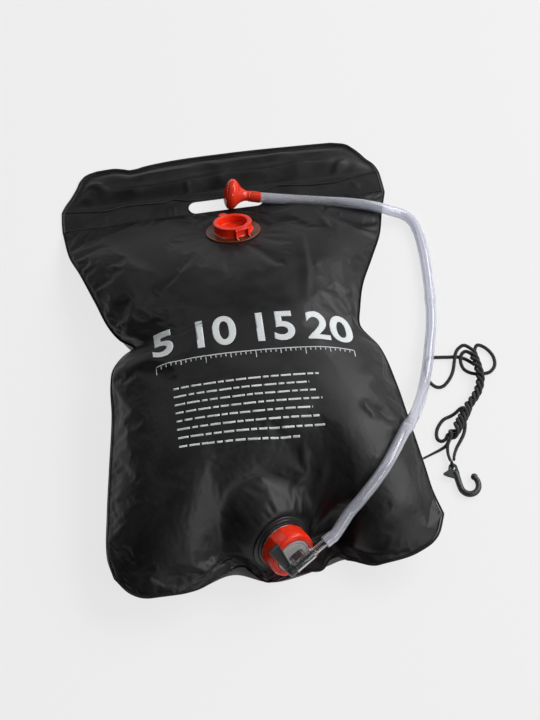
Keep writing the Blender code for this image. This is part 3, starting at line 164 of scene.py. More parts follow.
def turned(name, profile, material=None, steps=96, smooth=35.0):
    # a closed (radius, height) outline turned about Z
    points, rings, faces = [], [], []
    for radius, height in profile:
        rim = circle(radius, steps) if radius > 1e-9 else [(0.0, 0.0)]
        rings.append([len(points) + k % len(rim) for k in range(steps)])
        points += [(x, y, height) for x, y in rim]
    for ring, after in zip(rings, [*rings[1:], rings[0]]):
        for k in range(steps):
            n = (k + 1) % steps
            corners = [ring[k], ring[n], after[n], after[k]]
            corners = [c for j, c in enumerate(corners) if c != corners[j - 1]]
            if len(set(corners)) > 2:
                faces.append(corners)
    return newPiece(name, points, faces, material, smooth)


def drum(name, radius, low, high, steps=128):
    return turned(name, [(0.0, low), (radius, low), (radius, high), (0.0, high)], None, steps)


def slab(name, outline, low, high, edge=0.0, cuts=3):
    # a straight-sided block over a flat outline, its edges softened
    count = len(outline)
    faces = [list(range(count)), list(range(count, 2 * count))]
    faces += [[i, (i + 1) % count, (i + 1) % count + count, i + count] for i in range(count)]
    piece = newPiece(name, [(x, y, z) for z in (low, high) for x, y in outline], faces, None)
    return softened(piece, edge, cuts) if edge else piece


def box(left, right, low, high):
    return [(left, low), (right, low), (right, high), (left, high)]


def softened(piece, edge, cuts=3, sharper=30.0):
    # rounds every edge sharper than the given angle
    step = piece.modifiers.new("soften", "BEVEL")
    step.width, step.segments = edge, cuts
    step.limit_method, step.angle_limit = "ANGLE", math.radians(sharper)
    return shaded(bake(piece), 50)


def finished(piece, sharper, *materials):
    piece.data.materials.clear()
    for material in materials:
        piece.data.materials.append(material)
    return shaded(piece, sharper)


def combine(target, other, operation="DIFFERENCE"):
    # cuts the other piece out of the target, or joins it on, and removes it
    step = target.modifiers.new("combine", "BOOLEAN")
    step.operation, step.solver, step.object = operation, "EXACT", other
    bake(target)
    bpy.data.objects.remove(other)
    return target


def stadium(halfLength, halfWidth, steps, shift=0.0):
    end = arc(halfWidth, steps, -0.5, range(steps + 1))
    return [(side * (halfLength - halfWidth + x) + shift, side * y) for side in (1, -1) for x, y in end]


def evenly(points, step, least=3, cyclic=False):
    # evenly spaced places along a line, and its length
    given = np.array([tuple(p) for p in points], float)
    if cyclic:
        given = np.vstack([given, given[:1]])
    run = np.concatenate([[0.0], np.cumsum(np.linalg.norm(np.diff(given, axis=0), axis=1))])
    even = np.linspace(0.0, run[-1], max(least, round(run[-1] / step) + 1))
    made = np.stack([np.interp(even, run, given[:, k]) for k in range(3)], axis=1)
    return (made[:-1] if cyclic else made), run[-1]


def smoothRoute(route, spacing):
    # evenly spaced points on a smooth curve through the route's own points, and its length
    given = np.array([tuple(p) for p in route], float)
    ends = np.vstack([2 * given[0] - given[1], given, 2 * given[-1] - given[-2]])
    fine = []
    for i in range(1, len(ends) - 2):
        p0, p1, p2, p3 = ends[i - 1:i + 3]
        for t in np.linspace(0.0, 1.0, 24, endpoint=False):
            fine.append(0.5 * (2 * p1 + (p2 - p0) * t + (2 * p0 - 5 * p1 + 4 * p2 - p3) * t ** 2
                               + (3 * p1 - p0 - 3 * p2 + p3) * t ** 3))
    return evenly([*fine, given[-1]], spacing, 2)


def pathFrames(run):
    # at each point a heading, a side and an up direction that turn as little as possible
    heading = np.gradient(run, axis=0)
    heading /= np.linalg.norm(heading, axis=1)[:, None]
    side, sides = np.cross(heading[0], (0.0, 0.0, 1.0)), []
    for h in heading:
        side = side - h * np.dot(side, h)
        side /= np.linalg.norm(side)
        sides.append(side)
    return heading, np.array(sides), np.cross(sides, heading)


def ringPoints(run, wide, tall, sides):
    # a ring of places round each point of a path, with its own reach to the side and up
    _, side, up = pathFrames(run)
    x, y = np.array(circle(1.0, sides)).T
    return run[:, None] + side[:, None] * (wide[:, None] * x)[..., None] + up[:, None] * (tall[:, None] * y)[..., None]


def gridFaces(rows, columns, start=0, flip=False, wrap=False):
    index = start + np.arange(rows * columns).reshape(rows, columns)
    right = np.roll(index, -1, axis=1)
    if not wrap:
        index, right = index[:, :-1], right[:, :-1]
    corners = [index[:-1], index[1:], right[1:], right[:-1]]
    return np.stack([corners[k] for k in ((3, 2, 1, 0) if flip else (0, 1, 2, 3))], axis=-1).reshape(-1, 4).tolist()


def shell(name, outer, inner, material, smooth=60.0, wrap=False):
    # two grids of places closed along their rims to one solid; wrapped grids make a tube
    rows, columns = outer.shape[:2]
    over = rows * columns
    index = np.arange(over).reshape(rows, columns)
    rims = [index[0], index[-1]]
    if not wrap:
        rims = [np.concatenate([index[0], index[1:, -1], index[-1, -2::-1], index[-2:0:-1, 0]])]
    faces = gridFaces(rows, columns, 0, False, wrap) + gridFaces(rows, columns, over, True, wrap)
    for rim in rims:
        faces += np.stack([rim, np.roll(rim, -1), np.roll(rim, -1) + over, rim + over], axis=-1).tolist()
    return newPiece(name, [*outer.reshape(-1, 3), *inner.reshape(-1, 3)], faces, material, smooth)


# node helpers
def feed(tree, node, values):
    # sets a node's inputs from plain values or other nodes' outputs, by socket name or number
    for key, value in values.items():
        if isinstance(value, bpy.types.NodeSocket):
            tree.links.new(value, node.inputs[key])
        else:
            node.inputs[key].default_value = value


def addNode(tree, kind, inputs=None, **settings):
    node = tree.nodes.new(kind)
    for key, value in settings.items():
        setattr(node, key, value)
    feed(tree, node, inputs or {})
    return node


def mathOf(tree, operation, *values):
    return addNode(tree, "ShaderNodeMath", dict(enumerate(values)), operation=operation).outputs[0]


def mixOf(tree, factor, first, second):
    return addNode(tree, "ShaderNodeMix", {0: factor, 6: first, 7: second}, data_type="RGBA").outputs[2]


def rangeOf(tree, value, low, high, start=0.0, stop=1.0):
    return addNode(tree, "ShaderNodeMapRange", {"Value": value, "From Min": low, "From Max": high,
                                                "To Min": start, "To Max": stop}).outputs["Result"]


def bumpOf(tree, height, distance, strength, **under):
    return addNode(tree, "ShaderNodeBump", {
        "Height": height, "Distance": distance, "Strength": strength, **under}).outputs[0]


def noiseOf(tree, vector, scale, detail=3.0, roughness=0.5, distortion=0.0):
    return addNode(tree, "ShaderNodeTexNoise", {"Vector": vector, "Scale": scale, "Detail": detail,
                                                "Roughness": roughness, "Distortion": distortion}).outputs["Fac"]


def tone(colour, share=1.0, added=0.0):
    return (*[min(1.0, c * share + added) for c in colour], 1)


def newGroup(name, kind, inputs, outputs):
    # a node group with its named inputs (label, type, value) and outputs (label, type)
    tree = bpy.data.node_groups.new(name, kind)
    for label, sort, value in inputs:
        made = tree.interface.new_socket(label, in_out="INPUT", socket_type="NodeSocket" + sort)
        if value is not None:
            made.default_value = value
    for label, sort in outputs:
        tree.interface.new_socket(label, in_out="OUTPUT", socket_type="NodeSocket" + sort)
    return tree, tree.nodes.new("NodeGroupInput").outputs, tree.nodes.new("NodeGroupOutput")


def makeMouldedGrain():
    # fine orange-peel of moulded vinyl, with soft flow marks and a few rubbed patches
    tree, given, out = newGroup("mouldedGrain", "ShaderNodeTree", [
        ("Vector", "Vector", None), ("Grain Scale", "Float", 900.0), ("Flow Scale", "Float", 60.0)],
        [("Height", "Float"), ("Rubbed", "Float"), ("Flow", "Float")])
    grain = noiseOf(tree, given["Vector"], given["Grain Scale"], 2.0, 0.6)
    flow = noiseOf(tree, given["Vector"], given["Flow Scale"], 4.0, 0.55, 0.6)
    rub = noiseOf(tree, given["Vector"], 110.0, 6.0, 0.7, 0.2)
    feed(tree, out, {
        "Height": mathOf(tree, "ADD", grain, flow), "Rubbed": rangeOf(tree, rub, 0.52, 0.72), "Flow": flow})
    return tree


def makeFilmSurface():
    # calendered film: long soft waves, thin crinkle lines, a fine matt grain and faint dusty smears
    tree, given, out = newGroup("filmSurface", "ShaderNodeTree", [
        ("Vector", "Vector", None), ("Crinkle Scale", "Float", 26.0)],
        [("Waves", "Float"), ("Crinkle", "Float"), ("Grain", "Float"), ("Smear", "Float")])
    vector = given["Vector"]
    bent = addNode(tree, "ShaderNodeVectorMath", {0: vector, 1: (1.0, 0.55, 1.0)}, operation="MULTIPLY").outputs[0]
    crinkle = noiseOf(tree, bent, given["Crinkle Scale"], 4.0, 0.55, 1.2)
    ridge = mathOf(tree, "ABSOLUTE", mathOf(tree, "SUBTRACT", crinkle, 0.5))
    feed(tree, out, {
        "Waves": noiseOf(tree, vector, 11.0, 3.0, 0.45, 0.4), "Crinkle": rangeOf(tree, ridge, 0.0, 0.075, 1.0, 0.0),
        "Grain": noiseOf(tree, vector, 1500.0, 2.0, 0.7),
        "Smear": rangeOf(tree, noiseOf(tree, vector, 18.0, 6.0, 0.68, 0.8), 0.42, 0.72)})
    return tree


mouldedGrain = makeMouldedGrain()
filmSurface = makeFilmSurface()


# materials
def newMaterial(name):
    made = bpy.data.materials.new(name)
    made.use_nodes = True
    tree = made.node_tree
    tree.nodes.clear()
    shader = tree.nodes.new("ShaderNodeBsdfPrincipled")
    tree.links.new(shader.outputs["BSDF"], tree.nodes.new("ShaderNodeOutputMaterial").inputs["Surface"])
    return made, tree, shader, addNode(tree, "ShaderNodeTexCoord").outputs["Object"]


def effectOf(tree, group, place, inputs=None):
    return addNode(tree, "ShaderNodeGroup", {"Vector": place, **(inputs or {})}, node_tree=group).outputs


def makeFilm(name, colour, roughness, crinkle, gloss):
    made, tree, shader, place = newMaterial(name)
    film = effectOf(tree, filmSurface, place)
    wavy = bumpOf(tree, film["Waves"], 0.0022, 0.30)
    lined = bumpOf(tree, film["Crinkle"], 0.00016, crinkle, Normal=wavy)
    feed(tree, shader, {
        "Base Color": mixOf(tree, film["Smear"], tone(colour, 0.8), tone(colour, 1.9, 0.003)),
        "Roughness": mathOf(tree, "MULTIPLY_ADD", film["Smear"], 0.10, roughness),
        "Normal": bumpOf(tree, film["Grain"], 0.00003, 0.6, Normal=lined), "Specular IOR Level": gloss})
    return made


def makeMoulded(name, colour, roughness, darker, scale, glow=0.0, gloss=0.5):
    made, tree, shader, place = newMaterial(name)
    grain = effectOf(tree, mouldedGrain, place, {"Flow Scale": scale})
    tint = mixOf(tree, grain["Flow"], tone(colour, darker), tone(colour))
    feed(tree, shader, {
        "Base Color": mixOf(tree, grain["Rubbed"], tint, tone(colour, 1.06, 0.002)),
        "Roughness": mathOf(tree, "MULTIPLY_ADD", grain["Rubbed"], 0.12, roughness),
        "Normal": bumpOf(tree, grain["Height"], 0.00004, 0.5), "Specular IOR Level": gloss})
    if glow:
        feed(tree, shader, {
            "Subsurface Weight": glow, "Subsurface Radius": (1.0, 0.15, 0.05), "Subsurface Scale": 0.004})
    return made


def makeClear(name, colour, roughness, transmission, cloud, marks):
    # clear vinyl or styrene, a little cloudy along its flow marks
    made, tree, shader, place = newMaterial(name)
    grain = effectOf(tree, mouldedGrain, place, {"Flow Scale": 90.0})
    feed(tree, shader, {
        "Base Color": mixOf(tree, grain["Flow"], tone(colour, 1 - cloud), tone(colour)),
        "Roughness": mathOf(tree, "MULTIPLY_ADD", grain["Rubbed"], 0.08, roughness),
        "Transmission Weight": transmission, "IOR": 1.50,
        **({"Normal": bumpOf(tree, grain["Flow"], 0.0003, marks)} if marks else {})})
    return made


def makeCordCloth(name, colour):
    # twisted nylon: single filaments along the lay, and loose fibres whose flecks are painted lighter, a painted sheen
    made, tree, shader, place = newMaterial(name)
    lay = addNode(tree, "ShaderNodeAttribute", attribute_name="cordUV").outputs["Vector"]
    stretched = addNode(tree, "ShaderNodeVectorMath", {0: lay, 1: (1.0, 26.0, 1.0)}, operation="MULTIPLY").outputs[0]
    strands = noiseOf(tree, stretched, 60.0, 3.0, 0.6, 0.2)
    fuzzAndSheen = noiseOf(tree, place, 1600.0, 3.0, 0.7)
    tint = mixOf(tree, strands, tone(colour, 0.45), tone(colour, 1.7))
    lined = bumpOf(tree, strands, 0.00025, 0.8)
    feed(tree, shader, {
        # painted sheen: the loose fibres' flecks are painted in a lighter colour
        "Base Color": mixOf(tree, rangeOf(tree, fuzzAndSheen, 0.55, 0.8, 0.0, 0.5), tint, tone(colour, 3.0, 0.01)),
        "Normal": bumpOf(tree, fuzzAndSheen, 0.00012, 0.6, Normal=lined), "Roughness": 0.78, "Sheen Weight": 0.25,
        "Sheen Roughness": 0.5})
    return made


def makeInk(name):
    # screen-printed white, a little thin where the film is creased
    made, tree, shader, place = newMaterial(name)
    film = effectOf(tree, filmSurface, place, {"Crinkle Scale": 40.0})
    grain = rangeOf(tree, noiseOf(tree, place, 700.0, 3.0, 0.6), 0.35, 0.65)
    thin = mixOf(tree, grain, (0.60, 0.63, 0.64, 1), (0.74, 0.77, 0.78, 1))
    feed(tree, shader, {
        "Base Color": mixOf(tree, film["Smear"], thin, (0.66, 0.68, 0.69, 1)),
        "Normal": bumpOf(tree, film["Crinkle"], 0.0001, 0.4), "Roughness": 0.55, "Specular IOR Level": 0.3})
    return made


def makeFlangeVinyl(name):
    # red where the vinyl is thick, brown where a thin skirt lies over the black film
    made, tree, shader, place = newMaterial(name)
    thick = addNode(tree, "ShaderNodeAttribute", attribute_name="thickness").outputs["Fac"]
    grain = effectOf(tree, mouldedGrain, place, {"Flow Scale": 120.0})
    skirt = mixOf(tree, grain["Flow"], (0.062, 0.016, 0.004, 1), (0.105, 0.030, 0.007, 1))
    feed(tree, shader, {
        "Base Color": mixOf(tree, thick, skirt, (0.93, 0.026, 0.005, 1)),
        "Roughness": mathOf(tree, "MULTIPLY_ADD", grain["Rubbed"], 0.12, 0.26),
        "Normal": bumpOf(tree, grain["Height"], 0.00006, 0.6)})
    return made


# colour, roughness, then crinkle and gloss
blackFilm = makeFilm("blackFilm", (0.0080, 0.0080, 0.0088), 0.43, 0.22, 0.31)
weldFilm = makeFilm("weldFilm", (0.004, 0.004, 0.0045), 0.20, 0.1, 0.45)
smokeFilm = makeFilm("smokeFilm", (0.11, 0.105, 0.11), 0.30, 0.5, 0.4)
smokeFilm.node_tree.nodes["Principled BSDF"].inputs["Alpha"].default_value = 0.82
# colour, roughness, share of the darker flow marks, their scale, glow and gloss
redVinyl = makeMoulded("redVinyl", (0.84, 0.028, 0.005), 0.27, 0.92, 60.0, 0.09, 0.32)
headVinyl = makeMoulded("headVinyl", (0.82, 0.036, 0.010), 0.16, 0.94, 45.0, 0.08, 0.45)
blackMoulding = makeMoulded("blackMoulding", (0.013, 0.015, 0.017), 0.33, 0.7, 80.0)
greyMoulding = makeMoulded("greyMoulding", (0.030, 0.033, 0.035), 0.38, 0.7, 80.0)
paleWasher = makeMoulded("paleWasher", (0.50, 0.48, 0.44), 0.35, 0.8, 90.0)
rubberSeal = makeMoulded("rubberSeal", (0.015, 0.015, 0.015), 0.60, 0.7, 90.0)
# painted shade: dark reddish walls for the tap body's port, standing in for the shade down the hole
portPaintedShade = makeMoulded("portPaintedShade", (0.10, 0.035, 0.040), 0.30, 0.6, 90.0)
leverMoulding = makeMoulded("leverMoulding", (0.034, 0.039, 0.043), 0.30, 0.80, 80.0)
# painted shade: a darker copy of the lever's moulding for its sunk panel, which is also rougher
leverPanelPaintedShade = makeMoulded("leverPanelPaintedShade", (0.010, 0.012, 0.013), 0.50, 0.8, 80.0)
# colour, roughness, transmission, cloud and flow marks
clearPlastic = makeClear("clearPlastic", (0.80, 0.80, 0.83), 0.04, 0.97, 0.05, 0.04)
frostedPlastic = makeClear("frostedPlastic", (0.74, 0.72, 0.72), 0.34, 0.45, 0.15, 0.25)
clearVinyl = makeClear("clearVinyl", (0.89, 0.90, 0.98), 0.09, 0.74, 0.02, 0.0)
stainedVinyl = makeClear("stainedVinyl", (0.80, 0.050, 0.020), 0.14, 0.25, 0.05, 0.0)
blackCord = makeCordCloth("blackCord", (0.016, 0.016, 0.017))
whiteInk = makeInk("whiteInk")
flangeVinyl = makeFlangeVinyl("flangeVinyl")
print("materials ready")


# geometry trees: a profile laid along a path
def makeSweepTree(name, sockets, steer, reshape):
    tree, given, out = newGroup(name, "GeometryNodeTree", [("Geometry", "Geometry", None), *sockets, (
        "Material", "Material", None)], [("Geometry", "Geometry")])
    line = addNode(tree, "GeometryNodeMeshToCurve", {"Mesh": given["Geometry"]}).outputs["Curve"]
    ring = addNode(tree, "GeometryNodeCurvePrimitiveCircle", {"Resolution": given["Sides"], "Radius": 1.0})
    place = addNode(tree, "GeometryNodeInputPosition").outputs["Position"]
    part = addNode(tree, "ShaderNodeSeparateXYZ", {0: place}).outputs
    shaped = addNode(tree, "GeometryNodeSetPosition", {
        "Geometry": ring.outputs["Curve"], "Position": reshape(tree, given, place, part).outputs[0]})
    swept = addNode(tree, "GeometryNodeCurveToMesh", {
        "Curve": steer(tree, given, line).outputs["Curve"], "Profile Curve": shaped.outputs["Geometry"],
        "Fill Caps": True})
    real = addNode(tree, "GeometryNodeRealizeInstances", {"Geometry": swept.outputs["Mesh"]})
    dressed = addNode(tree, "GeometryNodeSetMaterial", {
        "Geometry": real.outputs["Geometry"], "Material": given["Material"]})
    tree.links.new(dressed.outputs["Geometry"], out.inputs["Geometry"])
    return tree


def steerLevel(tree, given, line):
    return addNode(tree, "GeometryNodeSetCurveNormal", {"Curve": line}, mode="Z_UP")


def reshapeWeld(tree, given, place, part):
    # flat, with a raised bead along each edge
    across = mathOf(tree, "MULTIPLY", part["X"], mathOf(tree, "MULTIPLY", given["Width"], 0.5))
    swell = mathOf(tree, "MULTIPLY_ADD", mathOf(tree, "MULTIPLY", part["X"], part["X"]),
                   mathOf(tree, "SUBTRACT", 2.2, given["Waist"]), given["Waist"])
    upward = mathOf(tree, "MULTIPLY", mathOf(tree, "MULTIPLY", part["Y"], swell),
                    mathOf(tree, "MULTIPLY", given["Height"], 0.5))
    return addNode(tree, "ShaderNodeCombineXYZ", {"X": across, "Y": upward})


def steerTwist(tree, given, line):
    along = addNode(tree, "GeometryNodeSplineParameter").outputs["Length"]
    turns = mathOf(tree, "DIVIDE", mathOf(tree, "MULTIPLY", along, 2 * math.pi), given["Lay"])
    return addNode(tree, "GeometryNodeSetCurveTilt", {"Curve": line, "Tilt": turns})


def reshapePlies(tree, given, place, part):
    # the plies are the lobes of a profile that turns along the path
    angle = mathOf(tree, "ARCTAN2", part["Y"], part["X"])
    half = mathOf(tree, "MULTIPLY", mathOf(tree, "MULTIPLY", angle, given["Plies"]), 0.5)
    lobe = mathOf(tree, "ABSOLUTE", mathOf(tree, "SINE", half))
    share = mathOf(tree, "MULTIPLY_ADD", lobe, given["Groove"], mathOf(tree, "SUBTRACT", 1.0, given["Groove"]))
    return addNode(tree, "ShaderNodeVectorMath", {0: place, "Scale": mathOf(tree, "MULTIPLY", share, given["Radius"])},
                   operation="SCALE")


weldTree = makeSweepTree("weldAlongPath", [
    ("Width", "Float", 0.003), ("Height", "Float", 0.001), ("Waist", "Float", 0.35), ("Sides", "Int", 14)],
    steerLevel, reshapeWeld)
twistTree = makeSweepTree("laidCord", [
    ("Radius", "Float", 0.0017), ("Plies", "Float", 3.0), ("Groove", "Float", 0.26), ("Lay", "Float", 0.008),
    ("Sides", "Int", 24)], steerTwist, reshapePlies)


def runTree(piece, tree, values):
    # sets the named inputs, applies the tree and drops the modifier
    step = piece.modifiers.new(tree.name, "NODES")
    step.node_group = tree
    for item in tree.interface.items_tree:
        if item.item_type == "SOCKET" and item.in_out == "INPUT" and item.name in values:
            step[item.identifier] = values[item.name]
    bake(piece).data.shade_smooth()
    return piece


def pathPiece(name, run, cyclic=False):
    # a bare line of points for a tree to work along
    data = bpy.data.meshes.new(name)
    edges = [(i, i + 1) for i in range(len(run) - 1)] + ([(len(run) - 1, 0)] if cyclic else [])
    data.from_pydata([tuple(map(float, p)) for p in run], edges, [])
    return linked(name, data)


gap = 0.0003     # between pieces that touch

# outlet and tap frames, needed by the hose
outlet = {
    "face": (-0.003, -0.2795, 0.0470), "turn": 25.0, "rise": 20.5, "barrelRoll": 12.4, "barrelStandOff": 0.0140,
    "barrelFront": 0.0200, "spoutLength": 0.0140,
}


def outletFrame(o):
    # on the nut's front face: X along the tap's barrel, Z out of the bag
    turn, rise, roll = (math.radians(o[k]) for k in ("turn", "rise", "barrelRoll"))
    out = Vector((math.sin(turn) * math.cos(rise), -math.cos(turn) * math.cos(rise), math.sin(rise)))
    level = Vector((math.cos(turn), math.sin(turn), 0.0))
    barrel = level * math.cos(roll) + out.cross(level) * math.sin(roll)
    return frameOf(Vector(o["face"]), barrel, out.cross(barrel), out)


outletPlace = outletFrame(outlet)
barrelPlace = outletPlace @ Matrix.Translation((0.0, 0.0, outlet["barrelStandOff"]))

# hose, clear vinyl pushed over the tap's barb and the head's barb; routes are in tenths of a millimetre
hoseSizes = {
    "radius": 0.0065, "bore": 0.0050, "overBarb": 0.0150, "spacing": 0.0022, "sides": 32, "flare": 0.0005,
    "flareRun": 0.0125, "headEnd": (0.0330, 0.2290, 0.0165), "headApex": (-0.0005, 0.2360, 0.0205),
    "kinks": ((0.237, 0.42, 0.006), (0.556, 0.20, 0.008)),     # place along the hose, how flat, and how long
    "route": (
        (620, -2500, 690), (770, -2390, 760), (940, -2250, 830), (1100, -2090, 870), (1250, -1890, 860),
        (1400, -1660, 780), (1560, -1420, 620), (1710, -1130, 380), (1835, -850, 190), (1930, -620, 122),
        (2010, -400, 110), (2070, -200, 105), (2160, 100, 80), (2230, 450, 67), (2280, 850, 67), (2305, 1200, 67),
        (2300, 1480, 67), (2260, 1660, 70), (2170, 1760, 90), (2030, 1800, 140), (1880, 1840, 190), (1660, 1900, 225),
        (1420, 1980, 210), (1180, 2070, 165), (950, 2150, 135), (720, 2210, 130)),
}
headEnd, headApex = Vector(hoseSizes["headEnd"]), Vector(hoseSizes["headApex"])
headAlong = (headApex - headEnd).normalized()


def routed(route):
    return np.array(route) / 10000


def makeHose(s):
    start, shares = outlet["barrelFront"] + outlet["spoutLength"] + gap, (0.0, 0.5, 1.0)
    first = [barrelPlace @ Vector((start + s["overBarb"] * t, 0, 0)) for t in shares]
    last = [headEnd - headAlong * s["overBarb"] * t for t in reversed(shares)]
    run, length = smoothRoute([*first, *routed(s["route"]), *last], s["spacing"])
    run[:, 2] = np.maximum(run[:, 2], s["radius"])
    at = np.linspace(0.0, 1.0, len(run))
    flare = s["flare"] * np.clip((s["flareRun"] - np.minimum(at, 1 - at) * length) / 0.003 + 0.5, 0.0, 1.0)
    dent = sum(flat * np.exp(-((at - spot) * length / reach) ** 2) for spot, flat, reach in s["kinks"])
    walls = [ringPoints(run, r * (1 + 0.42 * dent), r * (1 - 0.85 * dent), s["sides"])
             for r in (s["radius"] + flare, s["bore"] - flare * 0.2)]
    hose = shell("hose", *walls, clearVinyl, 50.0, True)
    # the red barb shows through the hose's end at the shower head
    hose.data.materials.append(stainedVinyl)
    for face in hose.data.polygons:
        if (headEnd - face.center).dot(headAlong) < s["flareRun"] and (face.center - headEnd).length < s["overBarb"]:
            face.material_index = 1
    return hose, run, length


hose, hoseRun, hoseLength = makeHose(hoseSizes)
settle(hose, "root", "clear_vinyl", "hose")
print("hose", round(hoseLength, 4), "m")

# rope, two laid cords twisted into one bundle between the hook and the loops
rope = {
    "radius": 0.0017, "trunkRadius": 0.0031, "footRadius": 0.0043, "trunkLay": 0.0251, "spacing": 0.0011,
    "lay": 0.0060, "groove": 0.32, "shown": 0.0024,
    "strandTurns": ((0.0, 0.0), (0.667, 0.5), (0.333, 0.25), (0.75, 0.75)),   # above, and in the foot
    "foot": (0.60, 0.69), "top": 0.03, "leave": 0.800, "join": 0.727,         # shares of the bundle's length
    "trunk": ((2560, -300, 60), (2565, -400, 80), (2570, -500, 96), (2575, -610, 96), (2570, -720, 70),
              (2515, -850, 52), (2435, -955, 50), (2350, -1045, 50), (2285, -1140, 59), (2220, -1230, 63),
              (2140, -1330, 63),
              (2055, -1420, 63)),
    "hookRight": ((2024, -1716, 56), (2050, -1640, 40), (2100, -1550, 26), (2165, -1465, 20), (2220, -1385, 22),
                  (2252, -1305, 36)),
    "rightLoop": ((2635, -255, 60), (2710, -265, 36), (2772, -330, 22), (2805, -430, 19), (2790, -540, 19),
                  (2720, -615, 19), (2640, -630, 19), (2560, -620, 19), (2480, -590, 19), (2420, -530, 24),
                  (2400, -450, 44), (2415, -375, 62), (2455, -322, 54), (2500, -308, 46)),
    "footLoop": ((1990, -1440, 60), (1940, -1450, 46), (1906, -1405, 28), (1912, -1325, 19), (1955, -1240, 19),
                 (2030, -1165, 19), (2115, -1135, 26), (2180, -1120, 68), (2235, -1100, 118), (2280, -1110, 134)),
    "tail": ((1985, -1505, 20), (1910, -1545, 19), (1830, -1575, 19), (1760, -1600, 19), (1690, -1625, 19)),
    "hookLeft": ((1984, -1716, 56), (1978, -1650, 50), (1982, -1580, 56), (2000, -1510, 74)),
    "leftLoop": ((2490, -245, 86), (2415, -265, 76), (2360, -330, 66), (2325, -430, 44), (2285, -540, 22),
                 (2220, -640, 19), (2130, -720, 19), (2050, -720, 19), (1990, -650, 19), (1960, -540, 19),
                 (1960, -440, 19), (1995, -350, 19), (2070, -315, 19), (2180, -325, 19), (2280, -340, 19),
                 (2370, -350, 19), (2450, -385, 19), (2510, -435, 19), (2560, -490, 19)),
}


def trunkStrand(index, start, stop):
    # places along one strand of the bundle between two shares of its length
    s = rope
    axis, length = smoothRoute(routed(s["trunk"]), 0.0009)
    turns, places = length / s["trunkLay"], []
    for share in np.linspace(start, stop, max(2, round(abs(stop - start) * turns * 8))):
        at = share * (len(axis) - 1)
        i = min(int(at), len(axis) - 2)
        heading = axis[i + 1] - axis[i]
        side = np.cross(heading, (0.0, 0.0, 1.0))
        side /= np.linalg.norm(side)
        above = np.cross(side, heading)
        above /= np.linalg.norm(above)
        foot = np.clip((share - s["foot"][0]) / (s["foot"][1] - s["foot"][0]), 0.0, 1.0)
        radius = s["trunkRadius"] + (s["footRadius"] - s["trunkRadius"]) * foot
        upper, lower = s["strandTurns"][index]
        turn = 2 * math.pi * (turns * (share - 1.0) + upper + (lower - upper) * foot)
        places.append(axis[i] + heading * (at - i) + radius * (math.cos(turn) * side + math.sin(turn) * above))
    return places


def layCord(cord, along, around):
    # the lay's direction for the filaments
    made = cord.data.attributes.new("cordUV", "FLOAT_VECTOR", "POINT")
    made.data.foreach_set("vector", np.stack([along, around, 0 * along], axis=1).astype(np.float32).ravel())


def makeCord(name, route, ends):
    # drawn in towards its own middle near its ends: (at the far end, share of thickness, over what length)
    s = rope
    run, length = smoothRoute(route, s["spacing"])
    run[:, 2] = np.maximum(run[:, 2], s["shown"])
    cord = runTree(pathPiece(name, run), twistTree, {"Radius": s["shown"], "Lay": s["lay"], "Groove": s["groove"],
                                                     "Sides": 24, "Material": blackCord})
    places = coordinates(cord)
    _, side, up = pathFrames(run)
    nearest = np.array([np.argmin(np.sum((run - p) ** 2, axis=1)) for p in places])
    off = places - run[nearest]
    around = np.arctan2(np.sum(off * up[nearest], axis=1), np.sum(off * side[nearest], axis=1)) / (2 * math.pi)
    along = nearest / (len(run) - 1) * length
    layCord(cord, along, around * 0.01 + along * 0.2)
    for far, share, reach in ends:
        t = np.clip((length - along if far else along) / reach, 0.0, 1.0)
        off *= (share + (1 - share) * t * t * (3 - 2 * t))[:, None]
    cord.data.vertices.foreach_set("co", (run[nearest] + off).astype(np.float32).ravel())
    cord.data.update()
    return cord, run, length


top = rope["top"]
ropeTail, tailRun, tailLength = makeCord("ropeTail", [
    *routed(rope["hookRight"]), *trunkStrand(1, rope["leave"], top), *routed(rope["rightLoop"]),
    *trunkStrand(0, top, 1.0), *routed(rope["footLoop"]), *trunkStrand(3, rope["join"], 1.0), *routed(rope["tail"])],
    ((False, 0.80, 0.035), (True, 0.62, 0.040)))
ropeLoop, loopRun, loopLength = makeCord("ropeLoop", [
    *routed(rope["hookLeft"]), *trunkStrand(2, 1.0, top), *routed(rope["leftLoop"])], ((False, 0.80, 0.025),))
settle(ropeTail, "root", "black_cord", "rope_tail")
settle(ropeLoop, "root", "black_cord", "rope_loop")
print("cords", round(tailLength, 4), round(loopLength, 4), "m")

